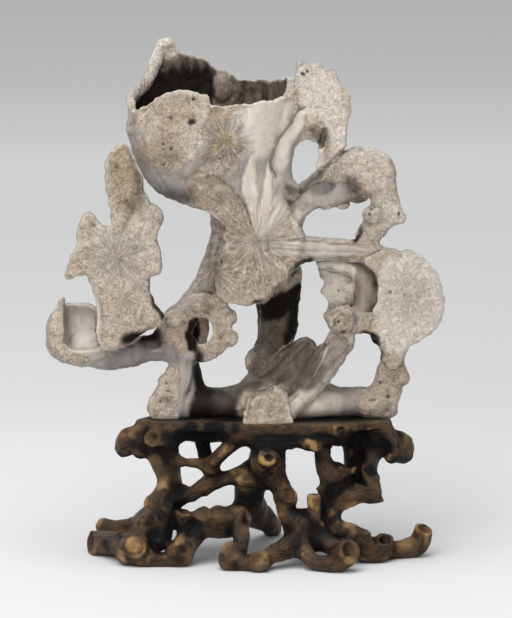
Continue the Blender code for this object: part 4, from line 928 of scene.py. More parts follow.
def cup_oval(x, y, z):
    """Distance to the cup's outer side, an oval at each level that bulges toward the front left,
    and the direction from its middle in degrees."""
    rows = row_of(z)
    left, right, half_depth, middle_depth = cup_reading(rows)
    middle, half = (left + right) / 2 - CENTRE_COLUMN, (right - left) / 2
    dx, dy = x - middle, y - middle_depth + CENTRE_DEPTH
    direction = np.degrees(np.arctan2(dy / half_depth, dx / half))
    toward, spread, bulge_row, row_spread, outward = CUP_BULGE
    half_deep = half_depth + outward * np.exp(-((direction - toward) / spread) ** 2
                                              - ((rows - bulge_row) / row_spread) ** 2)
    q = np.sqrt((dx / half) ** 2 + (dy / half_deep) ** 2) + 1e-6
    outer = q * (q - 1.0) / (np.sqrt((dx / half**2) ** 2 + (dy / half_deep**2) ** 2) + 1e-6)
    return np.maximum(outer, (rows - CUP_SECTIONS[-1][0]) * 0.9), direction


def add_cup(block):
    """Cup: the wall is what lies between its oval and the oval moved in by the wall, above a rounded
    floor, and below a rim whose height is read by direction. A lip is rolled over the rim."""
    part, x, y, z = block.window(*CUP_RANGE)
    outer, direction = cup_oval(x, y, z)
    wander = sum(rows * np.sin(direction * rate + shift) for rows, rate, shift in CUP_RIM_WAVES)
    hollow = -soft_least(-(outer + CUP_WALL), -(level_of(CUP_FLOOR_ROW) - z), CUP_FLOOR_ROUNDING)
    block.join(part, outer.astype(np.float32), 6.0)
    block.take(part, hollow.astype(np.float32), 1.5)
    below_rim = level_of(cup_rim(direction) + wander) - z
    block.take(part, np.maximum(below_rim, outer - 4.0).astype(np.float32), 1.2)
    lip = []
    for turn, radius in CUP_LIP:
        row = float(cup_rim((turn + 180) % 360 - 180))
        left, right, half_depth, middle_depth = cup_reading(row)
        angle = math.radians(turn)
        lip.append(((left + right) / 2 - CENTRE_COLUMN + ((right - left) / 2 - 2) * math.cos(angle),
                    middle_depth - CENTRE_DEPTH + (half_depth - 2) * math.sin(angle),
                    level_of(row) - 1.0, radius))
    add_path(block, smooth_path(lip), blend=2.0)


# ---------------------------------------------------------------------------------------------
# Skins
def skin_of(block):
    """Skin of a block: one vertex in every cell whose corners differ in sign, at the mean of the
    places where the cell's edges cross zero, and one quad round every grid edge that crosses."""
    inside = block.field < 0
    shape = np.array(inside.shape) - 1
    count = np.zeros(shape, np.uint8)
    for corner in np.ndindex(2, 2, 2):
        count += inside[tuple(slice(c, c + n) for c, n in zip(corner, shape))]
    cells = np.argwhere((count > 0) & (count < 8))
    number = np.full(shape, -1, np.int32)
    number[tuple(cells.T)] = np.arange(len(cells))
    corners = {c: block.field[tuple((cells + c).T)].astype(float) for c in np.ndindex(2, 2, 2)}
    total, crossings = np.zeros((len(cells), 3)), np.zeros(len(cells))
    for start in corners:
        for axis in range(3):
            if start[axis]:
                continue
            end = tuple(1 if i == axis else s for i, s in enumerate(start))
            a, b = corners[start], corners[end]
            crosses = (a < 0) != (b < 0)
            crossing = np.tile(np.array(start, float), (len(cells), 1))
            crossing[:, axis] = np.where(crosses, a / np.where(crosses, a - b, 1.0), 0.0)
            total += crossing * crosses[:, None]
            crossings += crosses
    vertices = block.low + block.step * (cells + total / crossings[:, None])
    quads = []
    for axis in range(3):
        one, two = [(1, 2), (2, 0), (0, 1)][axis]
        low = [slice(1, n - 1) for n in inside.shape]
        high = list(low)
        low[axis], high[axis] = slice(0, -1), slice(1, None)
        here, there = inside[tuple(low)], inside[tuple(high)]
        edges = np.argwhere(here != there)
        outward = here[tuple(edges.T)]
        edges[:, [one, two]] += 1
        ring = []
        for back_one, back_two in ((0, 0), (1, 0), (1, 1), (0, 1)):
            cell = edges.copy()
            cell[:, one] -= back_one
            cell[:, two] -= back_two
            ring.append(number[tuple(cell.T)])
        quad = np.stack(ring, axis=1)
        quad[~outward] = quad[~outward][:, ::-1]
        quads.append(quad)
    return vertices, np.vstack(quads)


def mesh_from(name, vertices, quads):
    """Smooth-shaded mesh object from arrays of vertices, in squares, and quads."""
    mesh = bpy.data.meshes.new(name)
    mesh.vertices.add(len(vertices))
    mesh.vertices.foreach_set("co", (vertices * SQUARE).astype(np.float32).ravel())
    mesh.loops.add(quads.size)
    mesh.loops.foreach_set("vertex_index", quads.astype(np.int32).ravel())
    mesh.polygons.add(len(quads))
    mesh.polygons.foreach_set("loop_start", np.arange(0, quads.size, 4, dtype=np.int32))
    mesh.update(calc_edges=True)
    mesh.validate()
    mesh.shade_smooth()
    obj = bpy.data.objects.new(name, mesh)
    bpy.context.scene.collection.objects.link(obj)
    return obj


def read_skin(obj):
    """Places, in squares, and normals of a skin's vertices."""
    values = np.empty(len(obj.data.vertices) * 3, np.float32)
    obj.data.vertices.foreach_get("co", values)
    places = values.reshape(-1, 3) / SQUARE
    normals = np.empty_like(values)
    obj.data.vertex_normals.foreach_get("vector", normals)
    return places.astype(float), normals.reshape(-1, 3).astype(float)


def press(obj, heights, low_level, high_level):
    """Move a skin along its normals by heights in squares, leaving the flats it rests on alone."""
    places, normals = read_skin(obj)
    level = places[:, 2]
    clear = ease(level, low_level, low_level + 4.0) * (1.0 - ease(level, high_level - 3.0, high_level))
    places += normals * (heights * clear)[:, None]
    obj.data.vertices.foreach_set("co", (places * SQUARE).astype(np.float32).ravel())
    obj.data.update()


def thin_out(obj):
    """Collapse the flattest edges until the skin has no more triangles than a piece may."""
    triangles = 2 * len(obj.data.polygons)
    if triangles <= MOST_TRIANGLES:
        return
    thin = obj.modifiers.new("thin", "DECIMATE")
    thin.ratio = MOST_TRIANGLES / triangles
    bpy.context.view_layer.update()
    thinned = bpy.data.meshes.new_from_object(obj.evaluated_get(bpy.context.evaluated_depsgraph_get()))
    obj.modifiers.clear()
    old, obj.data = obj.data, thinned
    bpy.data.meshes.remove(old)


def paint(obj, **masks):
    """Store masks on a skin's vertices, kept between 0 and 1."""
    for name, values in masks.items():
        layer = obj.data.attributes.new(name, "FLOAT", "POINT")
        layer.data.foreach_set("value", np.clip(values, 0.0, 1.0).astype(np.float32))


# ---------------------------------------------------------------------------------------------
# Noise
def lattice_noise(points, period, seed):
    """Smooth noise between -1 and 1: random values on a wrapped cubic lattice, blended over each
    cell by the eased nearness to its eight corners."""
    values = np.random.default_rng(seed).random((LATTICE_SIDE,) * 3) * 2.0 - 1.0
    at = points / period + 7.3 * (seed % 13)
    cell = np.floor(at).astype(int)
    near = at - cell
    near = near * near * (3.0 - 2.0 * near)
    total = np.zeros(len(points))
    for corner in np.ndindex(2, 2, 2):
        share = np.prod(np.where(corner, near, 1.0 - near), axis=1)
        i, j, k = ((cell + corner) % LATTICE_SIDE).T
        total += share * values[i, j, k]
    return total


def layered_noise(points, period, seed, layers):
    """Sum of lattice noises, each at half the period and half the strength of the one before."""
    return sum(lattice_noise(points, period / 2**i, seed + i) / 2**i for i in range(layers))


def ridged_noise(points, period, seed, layers):
    """Noise folded at zero into sharp crests: 1 less twice its absolute value, layered."""
    return sum((1.0 - 2.0 * np.abs(lattice_noise(points, period / 2**i, seed + i))) / 2**i
               for i in range(layers))


def scattered_pits(points, period, seed, radius):
    """1 in the middle of scattered round pits, 0 outside: one jittered centre per lattice cell,
    eased over the radius, the nearest centre deciding."""
    jitter = np.random.default_rng(seed).random((LATTICE_SIDE,) * 3 + (3,))
    at = points / period
    cell = np.floor(at).astype(int)
    least = np.full(len(points), 9.0)
    for corner in np.ndindex(3, 3, 3):
        other = cell + np.array(corner) - 1
        i, j, k = (other % LATTICE_SIDE).T
        least = np.minimum(least, np.linalg.norm(other + jitter[i, j, k] - at, axis=1))
    return 1.0 - ease(least * period, 0.0, radius)


def noise_of(name, points):
    """One of the named noises at points."""
    kind, *settings = NOISES[name]
    kinds = {"layered": layered_noise, "ridged": ridged_noise, "pits": scattered_pits}
    return kinds[kind](points, *settings)


def star_rays(across, down, centre, reach):
    """Rays from a centre, between -1 and 1: noise that changes fast with the angle and slowly with
    the distance, fading out toward the reach."""
    dx, dy = across - centre[0], down - centre[1]
    away = np.sqrt(dx * dx + dy * dy)
    turn = (np.arctan2(dy, dx) / (2 * math.pi) + 0.5) * STAR_SPOKES
    places = np.stack([turn, away / STAR_STRETCH, np.full(len(turn), 0.5)], axis=1)
    rays = lattice_noise(places, 1.0, STAR_SEED)
    return rays * ease(away, 2.0, 7.0) * (1.0 - ease(away, reach * 0.55, reach))


# ---------------------------------------------------------------------------------------------
# Stone
def sculpt_stone():
    """Block of the stone: limbs, plates, lumps, cup and scoop joined, then grooves taken out."""
    block = Block(*STONE_RANGE, STONE_STEP)
    for flatness, face, blend, points in STONE_LIMBS.values():
        add_path(block, limb_path(points), flatness, face, blend)
    for plate in STONE_PLATES.values():
        add_plate(block, *plate)
    for lump in STONE_LUMPS.values():
        add_lump(block, *lump)
    add_cup(block)
    add_lump(block, *CUP_INNER_KNOB)
    scoop = Block(*SCOOP_RANGE, STONE_STEP)
    add_lump(scoop, *SCOOP_BOWL)
    add_lump(scoop, *SCOOP_HOLLOW, hollow=True)
    part, *_ = block.window(scoop.low + 0.01, scoop.low + (scoop.size - 1) * STONE_STEP - 0.01)
    shape = block.field[part].shape
    block.join(part, scoop.field[:shape[0], :shape[1], :shape[2]], 4.0)
    for flatness, blend, points in STONE_GROOVES.values():
        add_path(block, limb_path(points), flatness, FULL, blend, hollow=True)
    block.trim(STONE_FLAT, -1)
    return block


def met_first(places, normals):
    """1 on the surfaces met first from the front, 0 on those behind them or turned away: the depth
    along the view beyond the least in the small squares of the sheet around, blended between their
    middles and eased, times the eased facing."""
    across, down = sheet_view(places)
    depth = places[:, 1] * TILT_COS - places[:, 2] * TILT_SIN
    cell = tuple(np.clip(value / VIEW_CELL, 0, VIEW_CELLS - 2).astype(int) for value in (across, down))
    nearest = np.full((VIEW_CELLS, VIEW_CELLS), 400.0)
    np.minimum.at(nearest, cell, depth)
    share = [np.clip(value / VIEW_CELL - 0.5, 0, VIEW_CELLS - 2.1) for value in (across, down)]
    low = [value.astype(int) for value in share]
    u, v = (value - whole for value, whole in zip(share, low))
    least = 0.0
    for i, j in np.ndindex(2, 2):
        corner = np.minimum(nearest[low[0] + i, low[1] + j], nearest[cell] + 60.0)
        least = least + corner * (u if i else 1.0 - u) * (v if j else 1.0 - v)
    facing = normals[:, 2] * TILT_SIN - normals[:, 1] * TILT_COS
    return (1.0 - ease(depth - least, 8.0, 24.0)) * ease(facing, 0.02, 0.3)


def share_within(across, down, low, high, share_of):
    """A share worked out only for the places in a box of the sheet, and 0 elsewhere."""
    near = np.flatnonzero((across > low[0]) & (across < high[0]) & (down > low[1]) & (down < high[1]))
    share = np.zeros(len(across))
    share[near] = share_of(across[near], down[near])
    return share


def outline_share(across, down, outline, soft):
    """1 inside an outline on the sheet, 0 outside, eased over its soft edge."""
    curve = closed_curve(outline)
    return share_within(across, down, curve.min(0) - soft, curve.max(0) + soft,
                        lambda x, y: 1.0 - ease(outline_distance(x, y, curve), -soft, soft))


def line_share(across, down, points, width):
    """1 along a line on the sheet, falling to 0 at its width."""
    rows = np.array(points, float)
    room = width + 4
    return share_within(across, down, rows.min(0) - room, rows.max(0) + room,
                        lambda x, y: 1.0 - ease(line_distance(x, y, points), 0.25 * width, width))


def round_share(across, down, centre, radius):
    """1 at a place on the sheet, falling to 0 at a radius."""
    return 1.0 - ease(np.hypot(across - centre[0], down - centre[1]), 0.3 * radius, radius)


def spots_share(across, down, spots, spread):
    """Greatest share of any spot, each its strength at its place, falling to 0 at its radius."""
    return np.max([round_share(across, down, centre, radius * spread) * strength
                   for centre, radius, strength in spots], axis=0)


def zone_mask(kind, base, across, down, front):
    """A base mask with the zones of one kind laid over it in order, each by its own share."""
    values = base
    for masks, soft, outline in ZONES.values():
        if kind in masks:
            values = mix(values, masks[kind], outline_share(across, down, outline, soft) * front)
    return values


def wandering(places, across, down, amount):
    """Sheet places moved by noise, so that outlines come out ragged."""
    return (across + noise_of("wander_across", places) * amount,
            down + noise_of("wander_down", places) * amount)


def crust_of(places, normals, across, down, front, facing):
    """Crust on the faces that look forward far enough, patches of it at the back, none on the side
    walls, and the crust zones over that."""
    patches = ease(noise_of("back_crust", places), -0.15, 0.25) * ease(normals[:, 1], -0.1, 0.5)
    base = np.maximum(ease(-normals[:, 1], *facing), patches)
    return zone_mask("crust", base, across, down, front)


def cup_inside(places):
    """1 on the inner wall and floor of the cup, 0 elsewhere and on the rolled lip."""
    outer, direction = cup_oval(*places.T)
    floor = level_of(CUP_FLOOR_ROW)
    below_rim = row_of(places[:, 2]) - cup_rim(direction)
    turn = direction % 360.0
    lip = ease(turn, *LIP_START) * (1.0 - ease(turn, *LIP_END)) * (1.0 - ease(below_rim, *LIP_DROP))
    start = -CUP_WALL - 6.0 * lip
    return (1.0 - ease(outer, start - 0.5, start + 2.5)) * ease(places[:, 2], floor - 4.0, floor)


def stone_swell(places):
    """Broad swells of the stone, in squares."""
    return noise_of("stone_swell", places) * 1.3


def crease_breaks(places, front):
    """Where the creases show: in front, and broken off here and there by noise."""
    return ease(noise_of("crease_breaks", places), -0.9, -0.2) * front


def stone_relief(places, normals):
    """Heights, in squares, pressed into the stone: broad swells, rough crust against soft walls,
    rays, creases, pits, raised crusts, and dents at the back."""
    across, down = sheet_view(places)
    front = met_first(places, normals)
    loose = wandering(places, across, down, RELIEF_WANDER)
    crust = crust_of(places, normals, *loose, front, RELIEF_FACING)
    rough = (noise_of("crust_lumps", places) * 1.2 + noise_of("crust_ridges", places) * 0.55
             - noise_of("crust_pits", places) * 1.3 + noise_of("crust_grain", places) * 0.55)
    soft = noise_of("wall_swell", places) * 0.4
    heights = stone_swell(places) + mix(soft, rough + 0.4, crust)
    back = ease(normals[:, 1], -0.1, 0.5)
    heights -= noise_of("back_dents", places) * back * 1.6 * (1.0 - cup_inside(places))
    for centre, _, reach, height, _ in STARS.values():
        heights += star_rays(across, down, centre, reach) * height * front
    broken = crease_breaks(places, front)
    for width, depth, _, points in CREASES.values():
        heights -= line_share(*loose, points, width * 1.7) * depth * broken
    for centre, radius, depth in PITS:
        heights -= round_share(*loose, centre, radius) * depth * front
    heights *= 1.0 - 0.6 * cup_inside(places)
    for height, softness, outline in RAISED_CRUSTS.values():
        heights += outline_share(*loose, outline, softness) * height * front
    return heights


def paint_stone(stone, block):
    """Masks of the stone: crust, pale, stain, shade, crest and hollow."""
    places, normals = read_skin(stone)
    across, down = sheet_view(places)
    front = met_first(places, normals)
    loose = wandering(places, across, down, PAINT_WANDER)
    crust = crust_of(places, normals, *loose, front, PAINT_FACING)
    relief = stone_relief(places, normals)
    bare = places - normals * relief[:, None]
    near, wide = (block.read(bare, block.fullness(reach)) for reach in STONE_REACHES)
    # Painted shade where much material lies round a place: recesses, crevices and between parts; the shade
    # zones are laid over it
    shade = zone_mask("shade", ease(wide, 0.53, 0.82) * 0.8, *loose, front)
    fine = wandering(places, across, down, RELIEF_WANDER)
    broken = crease_breaks(places, front)
    # Painted shade along the creases and in the pits
    for width, _, darkness, points in CREASES.values():
        shade = np.maximum(shade, line_share(*fine, points, width * 1.6) * darkness * 0.6 * broken)
    for centre, radius, _ in PITS:
        shade = np.maximum(shade, round_share(*fine, centre, radius * 1.1) * 0.7 * front)
    # Painted shade inside the cup: darker further down and at the left, lighter at its right part and on
    # the knob
    inside = cup_inside(places) * np.maximum(ease(down, *CUP_INSIDE_ROWS),
                                             ease(across, *CUP_INSIDE_COLUMNS))
    right_part = ease(across, *CUP_RIGHT_COLUMNS)
    depth_in_cup = ease(down, *CUP_DARK_ROWS) * (1.0 - 0.8 * right_part)
    streaks = noise_of("cup_streaks", places * CUP_STREAK_STRETCH) * 0.2
    knob = outline_share(*loose, CUP_KNOB_OUTLINE, 3.0)
    shade = mix(shade, (0.5 + 0.6 * depth_in_cup + streaks) * (1.0 - 0.6 * knob), inside)
    stray = ease(noise_of("stray_pale", places), 0.0, 0.6) * (1.0 - front)
    pale = zone_mask("pale", stray * 0.5, *loose, front) * (1.0 - inside)
    stray = ease(noise_of("stray_stain", places), 0.1, 0.7) * (1.0 - 0.6 * front) * 0.7
    stain = zone_mask("stain", stray, *loose, front)
    pressed = relief - stone_swell(places)
    # The hollow mask: dirt and painted shade in concave places and where relief is pressed in
    paint(stone, crust=mix(crust, 0.45 + 0.5 * knob, inside), pale=pale,
          stain=mix(stain, 0.3 + 0.5 * right_part, inside), shade=shade,
          crest=ease(0.5 - near, 0.02, 0.2),
          hollow=np.maximum(ease(near, 0.52, 0.68), ease(-pressed, 0.3, 2.2) * 0.6), front=front)


def make_stone():
    """The stone's skin, pressed with its relief, thinned out and painted with its masks."""
    block = sculpt_stone()
    stone = mesh_from("stone", *skin_of(block))
    press(stone, stone_relief(*read_skin(stone)), STONE_FLAT, 1e3)
    thin_out(stone)
    paint_stone(stone, block)
    return stone


# ---------------------------------------------------------------------------------------------
# Stand
def seat_plan():
    """Smooth outline of the seat from above, in squares."""
    return closed_curve([(x + SEAT_COLUMN - CENTRE_COLUMN, y - CENTRE_DEPTH) for x, y in SEAT_OUTLINE])


def add_seat(block):
    """Slab of the seat: its smooth outline from above, level on top, with rounded edges."""
    outline = seat_plan()
    low, high = outline.min(0) - 12, outline.max(0) + 12
    middle = SEAT_FLAT - SEAT_THICKNESS / 2
    part, x, y, z = block.window((low[0], low[1], middle - 20), (high[0], high[1], middle + 20))
    edge = outline_distance(x[:, :, 0], y[:, :, 0], outline).astype(np.float32)[:, :, None]
    block.join(part, rounded_slab(edge, z - middle, SEAT_THICKNESS / 2, SEAT_ROUNDING), WOOD_BLEND)


def cut_frame(centre, facing):
    """Middle of a cut twig end in squares, and the unit vector that it faces."""
    way = np.array([facing[0], facing[2], facing[1]], float)
    return place(*centre), way / np.linalg.norm(way)


def cut_reading(x, y, z, centre, facing, radius, depth):
    """How far points lie beyond the hollowed face of a cut, from its axis, and from its middle. The
    hollow is as deep as given, less by the fourth power of the share of the bore's radius."""
    middle, way = cut_frame(centre, facing)
    dx, dy, dz = x - middle[0], y - middle[1], z - middle[2]
    along = dx * way[0] + dy * way[1] + dz * way[2]
    away = np.sqrt(dx * dx + dy * dy + dz * dz)
    radial = np.sqrt(np.maximum(away * away - along * along, 0.0))
    hollow = depth * np.maximum(1.0 - (radial / (CUT_BORE * radius)) ** 4, 0.0)
    return along + hollow, radial, away


def add_cut_end(block, centre, facing, radius, depth):
    """Sawn twig end: a flared round limb up to the cut, everything past the hollowed face taken off."""
    middle, way = cut_frame(centre, facing)
    path = smooth_path([(*(middle - way * radius * back), radius * size) for back, size in CUT_NECK])
    add_path(block, path, blend=5.0)
    part, x, y, z = block.window(middle - 1.7 * radius, middle + 1.7 * radius)
    beyond, _, away = cut_reading(x, y, z, centre, facing, radius, depth)
    block.take(part, np.maximum(-beyond, away - 1.5 * radius).astype(np.float32), 1.0)


def fibre_of(places):
    """Coordinates that run with the wood: for the nearest limb, the offsets from its axis in a frame
    carried along it, and a small share of the length along it, moved on for every limb."""
    least = np.full(len(places), 1e9)
    fibre = places * 0.5
    for number, points in enumerate(WOOD_LIMBS.values()):
        path = limb_path(points)
        side, run = np.array([0.37, 0.61, 0.7]), number * 17.0
        for start, end in zip(path[:-1], path[1:]):
            link = end[:3] - start[:3]
            length = np.linalg.norm(link) + 1e-9
            way = link / length
            side = side - way * (side @ way)
            side /= np.linalg.norm(side)
            reach = max(start[3], end[3]) + 10.0
            low = np.minimum(start[:3], end[:3]) - reach
            high = np.maximum(start[:3], end[:3]) + reach
            near = np.flatnonzero(((places > low) & (places < high)).all(axis=1))
            offset = places[near] - start[:3]
            t = np.clip(offset @ link / length**2, 0.0, 1.0)
            offset -= t[:, None] * link
            distance = np.linalg.norm(offset, axis=1) - (start[3] + t * (end[3] - start[3]))
            better = distance < least[near]
            chosen = near[better]
            least[chosen] = distance[better]
            fibre[chosen] = np.stack([offset @ side, offset @ np.cross(way, side),
                                      (run + t * length) * 0.12], axis=1)[better]
            run += length
    return fibre


def wood_relief(places):
    """Heights, in squares, pressed into the wood: swells, lumps, furrows along the fibre, knots."""
    return (noise_of("wood_swell", places) * 1.5 + noise_of("wood_lumps", places) * 0.55
            + noise_of("wood_furrows", fibre_of(places)) * 0.35 + noise_of("wood_knots", places) * 1.6)


def paint_stand(stand, block):
    """Masks of the wood: wear with painted highlight, cut faces, growth rings and painted shade in its
    hollows, under the seat and on undersides; and its fibre.
    """
    places, normals = read_skin(stand)
    across, down = sheet_view(places)
    front = met_first(places, normals)
    near, wide = (block.read(places, block.fullness(reach)) for reach in WOOD_REACHES)
    wear = ease(0.5 - near + noise_of("wear_edge", places) * 0.06, 0.03, 0.3) * 0.8
    wear *= 0.25 + 0.75 * ease(noise_of("wear_patches", places), -0.3, 0.5)
    loose = wandering(places, across, down, WOOD_WANDER)
    patchy = ease(noise_of("gold_patches", places), -0.5, 0.6)
    cut, rings = np.zeros(len(places)), np.zeros(len(places))
    for centre, facing, radius, depth in CUT_ENDS.values():
        beyond, radial, away = cut_reading(*places.T, centre, facing, radius, depth)
        face = (1.0 - ease(np.abs(beyond), 1.2, 2.6)) * (1.0 - ease(away, 1.15 * radius, 1.35 * radius))
        rim = face * ease(radial, 0.72 * radius, 0.9 * radius)
        cut = np.maximum(cut, face)
        rings = np.maximum(rings, face * np.minimum(radial / 16.0, 1.0))
        wear = np.maximum(wear, rim * patchy * 0.22)
    rubbed = spots_share(*loose, GOLD_SPOTS, 1.5)
    # Painted highlight: golden spots come out brighter on faces turned up to the top light
    upward = 0.55 + 0.45 * ease(normals[:, 2], -0.3, 0.6)
    wear = np.maximum(wear, rubbed * front * upward * (0.45 + 0.55 * patchy))
    # Painted shade: on wood crowded by material, under the seat, and on undersides
    within = ease(-outline_distance(places[:, 0], places[:, 1], seat_plan()), *SEAT_SHADE_REACH)
    deep = np.maximum(ease(wide, 0.33, 0.56), within * ease(places[:, 2], *SEAT_SHADE_LEVELS) * 0.9)
    under = ease(-normals[:, 2], 0.2, 0.8) * ease(places[:, 2], *UNDERSIDE_LEVELS)
    deep = deep * (1.0 - 0.75 * rubbed * front)
    # Spots of nearly black painted shade
    deep = np.maximum(deep, spots_share(*loose, SHADE_SPOTS, 1.0) * front)
    paint(stand, wear=wear, cut=cut, rings=rings, deep=np.maximum(deep, under * 0.9))
    layer = stand.data.attributes.new("fibre", "FLOAT_VECTOR", "POINT")
    layer.data.foreach_set("vector", fibre_of(places).astype(np.float32).ravel())


def make_stand():
    """The stand's skin, pressed with its relief, thinned out and painted with its masks."""
    block = Block(*STAND_RANGE, WOOD_STEP)
    add_seat(block)
    for points in WOOD_LIMBS.values():
        add_path(block, limb_path(points), blend=WOOD_BLEND)
    for cut in CUT_ENDS.values():
        add_cut_end(block, *cut)
    block.trim(SEAT_FLAT, 1)
    block.trim(0.0, -1)
    stand = mesh_from("stand", *skin_of(block))
    press(stand, wood_relief(read_skin(stand)[0]), 0.0, SEAT_FLAT)
    thin_out(stand)
    paint_stand(stand, block)
    return stand


# ---------------------------------------------------------------------------------------------
# Finishes
class Wire:
    """Output of a node. A sum, difference or product with a wire or a number adds a math node."""

    def __init__(self, tree, socket):
        self.tree, self.socket = tree, socket

    def __add__(self, other):
        return self.tree.math("ADD", self, other)

    def __sub__(self, other):
        return self.tree.math("SUBTRACT", self, other)

    def __rsub__(self, other):
        return self.tree.math("SUBTRACT", other, self)

    def __mul__(self, other):
        return self.tree.math("MULTIPLY", self, other)


class Tree:
    """Adds nodes to a node tree. An input is given as a number, a colour, a place or a wire."""

    def __init__(self, tree):
        self.tree = tree

    def put(self, socket, value):
        """Link a wire to an input, or set the input's value."""
        if isinstance(value, Wire):
            self.tree.links.new(value.socket, socket)
        elif isinstance(value, tuple) and len(value) == 3 and socket.type == "RGBA":
            socket.default_value = (*value, 1.0)
        else:
            socket.default_value = value

    def outputs(self, kind, inputs=(), **settings):
        """New node of a kind; gives all its outputs, by name, as wires."""
        node = self.tree.nodes.new("ShaderNode" + kind)
        for name, value in settings.items():
            setattr(node, name, value)
        for key, value in dict(inputs).items():
            self.put(node.inputs[key], value)
        return {socket.identifier: Wire(self, socket) for socket in node.outputs}

    def add(self, kind, inputs=(), output=0, **settings):
        """New node of a kind; gives one of its outputs."""
        outputs = self.outputs(kind, inputs, **settings)
        return list(outputs.values())[output] if isinstance(output, int) else outputs[output]

    def group(self, group, inputs):
        """New use of a node group; gives its outputs by name."""
        wires = self.outputs("Group", inputs, node_tree=group).values()
        return {wire.socket.name: wire for wire in wires}

    def math(self, operation, first, second=0.0):
        """One or two numbers worked out by an operation."""
        return self.add("Math", {0: first, 1: second}, operation=operation)

    def vector(self, operation, first, second=(0.0, 0.0, 0.0), output=0):
        """One or two places or directions worked out by an operation."""
        return self.add("VectorMath", {0: first, 1: second}, output, operation=operation)

    def blend(self, share, first, second):
        """From the first colour, at share 0, to the second, at share 1."""
        return self.add("Mix", {0: share, 6: first, 7: second}, 2, data_type="RGBA")

    def span(self, value, low, high, start=0.0, end=1.0, way="SMOOTHSTEP"):
        """Goes smoothly from start at low to end at high."""
        return self.add("MapRange", {0: value, 1: low, 2: high, 3: start, 4: end}, interpolation_type=way)

    def noise(self, place_at, scale, detail=2.0, roughness=0.5, distortion=0.0):
        """Noise around 0.5, with so many grains to a unit of its place."""
        return self.add("TexNoise", {"Vector": place_at, "Scale": scale, "Detail": detail,
                                     "Roughness": roughness, "Distortion": distortion})

    def mask(self, name, output="Fac"):
        """Mask or place painted on the skin."""
        return self.add("Attribute", (), output, attribute_name=name)

    def bump(self, height, strength, distance, under=None):
        """Bumps of a height in metres, laid over the bumps under them."""
        inputs = {"Height": height, "Strength": strength, "Distance": distance}
        if under is not None:
            inputs["Normal"] = under
        return self.add("Bump", inputs)


def new_group(name, inputs, outputs):
    """Shader node group with named sockets. Returns its tree, what it is given and what it gives."""
    group = bpy.data.node_groups.new(name, "ShaderNodeTree")
    for in_out, sockets in (("INPUT", inputs), ("OUTPUT", outputs)):
        for socket, kind in sockets.items():
            group.interface.new_socket(socket, in_out=in_out, socket_type="NodeSocket" + kind)
    tree = Tree(group)
    given = {socket.name: Wire(tree, socket) for socket in group.nodes.new("NodeGroupInput").outputs}
    return group, tree, given, group.nodes.new("NodeGroupOutput").inputs


def build_fine_relief():
    """Grain of a surface: coarse and fine noise added, and a mask of its darker flecks."""
    group, tree, given, gives = new_group("fine_relief", {"Place": "Vector", "Grains": "Float"},
                                          {"Height": "Float", "Flecks": "Float"})
    coarse = tree.noise(given["Place"], given["Grains"], 4.0, 0.65)
    fine = tree.noise(given["Place"], given["Grains"] * 4.3, 3.0, 0.6)
    tree.put(gives["Height"], coarse + fine * 0.45)
    sparse = tree.noise(given["Place"], given["Grains"] * 0.35, 2.0, 0.5)
    tree.put(gives["Flecks"], tree.span(fine + sparse * 0.5, 0.84, 0.98))
    return group


def build_worn_edges():
    """Colour rubbed through on the crests: the worn colour shows where the crest, broken up by
    noise, is high enough."""
    group, tree, given, gives = new_group(
        "worn_edges", {"Colour": "Color", "Worn": "Color", "Crest": "Float", "Place": "Vector",
                       "Grains": "Float"}, {"Colour": "Color"})
    broken = tree.noise(given["Place"], given["Grains"], 4.0, 0.65)
    share = tree.span(given["Crest"] * (broken + 0.5), 0.25, 0.9)
    tree.put(gives["Colour"], tree.blend(share, given["Colour"], given["Worn"]))
    return group


def build_settled_dust():
    """Pale dust lying on what faces up: the eased upward part of the normal, broken up by noise."""
    group, tree, given, gives = new_group(
        "settled_dust", {"Colour": "Color", "Dust": "Color", "Amount": "Float", "Place": "Vector"},
        {"Colour": "Color"})
    normal = tree.add("NewGeometry", output="Normal")
    upward = tree.span(tree.add("SeparateXYZ", {0: normal}, "Z"), 0.1, 0.95)
    broken = tree.span(tree.noise(given["Place"], 160.0, 4.0, 0.6), 0.3, 0.7)
    tree.put(gives["Colour"], tree.blend(upward * broken * given["Amount"], given["Colour"], given["Dust"]))
    return group


def build_crystal_rays():
    """Fine rays about a centre: noise read on a circle of the direction from the centre, which
    changes slowly outward, and a share that falls from 1 at the centre to 0 at the reach."""
    group, tree, given, gives = new_group(
        "crystal_rays", {"Place": "Vector", "Centre": "Vector", "Reach": "Float"},
        {"Rays": "Float", "Near": "Float"})
    offset = tree.vector("SUBTRACT", given["Place"], given["Centre"])
    flat = tree.vector("MULTIPLY", offset, (1.0, 0.0, 1.0))
    away = tree.vector("LENGTH", flat, output="Value")
    way = tree.outputs("SeparateXYZ", {0: tree.vector("NORMALIZE", flat)})
    at = tree.add("CombineXYZ", {0: way["X"], 1: away * 6.0, 2: way["Z"]})
    tree.put(gives["Rays"], tree.span(tree.noise(at, 12.0, 3.0, 0.6), 0.42, 0.58))
    share = tree.math("DIVIDE", away, given["Reach"])
    tree.put(gives["Near"], tree.span(share, 0.3, 1.0, 1.0, 0.0))
    return group


def new_material(name):
    """New material: itself, its tree, its shader's inputs and the place on the object."""
    material = bpy.data.materials.new(name)
    material.use_nodes = True
    tree = Tree(material.node_tree)
    shader = material.node_tree.nodes["Principled BSDF"]
    return material, tree, shader.inputs, tree.add("TexCoord", output="Object")


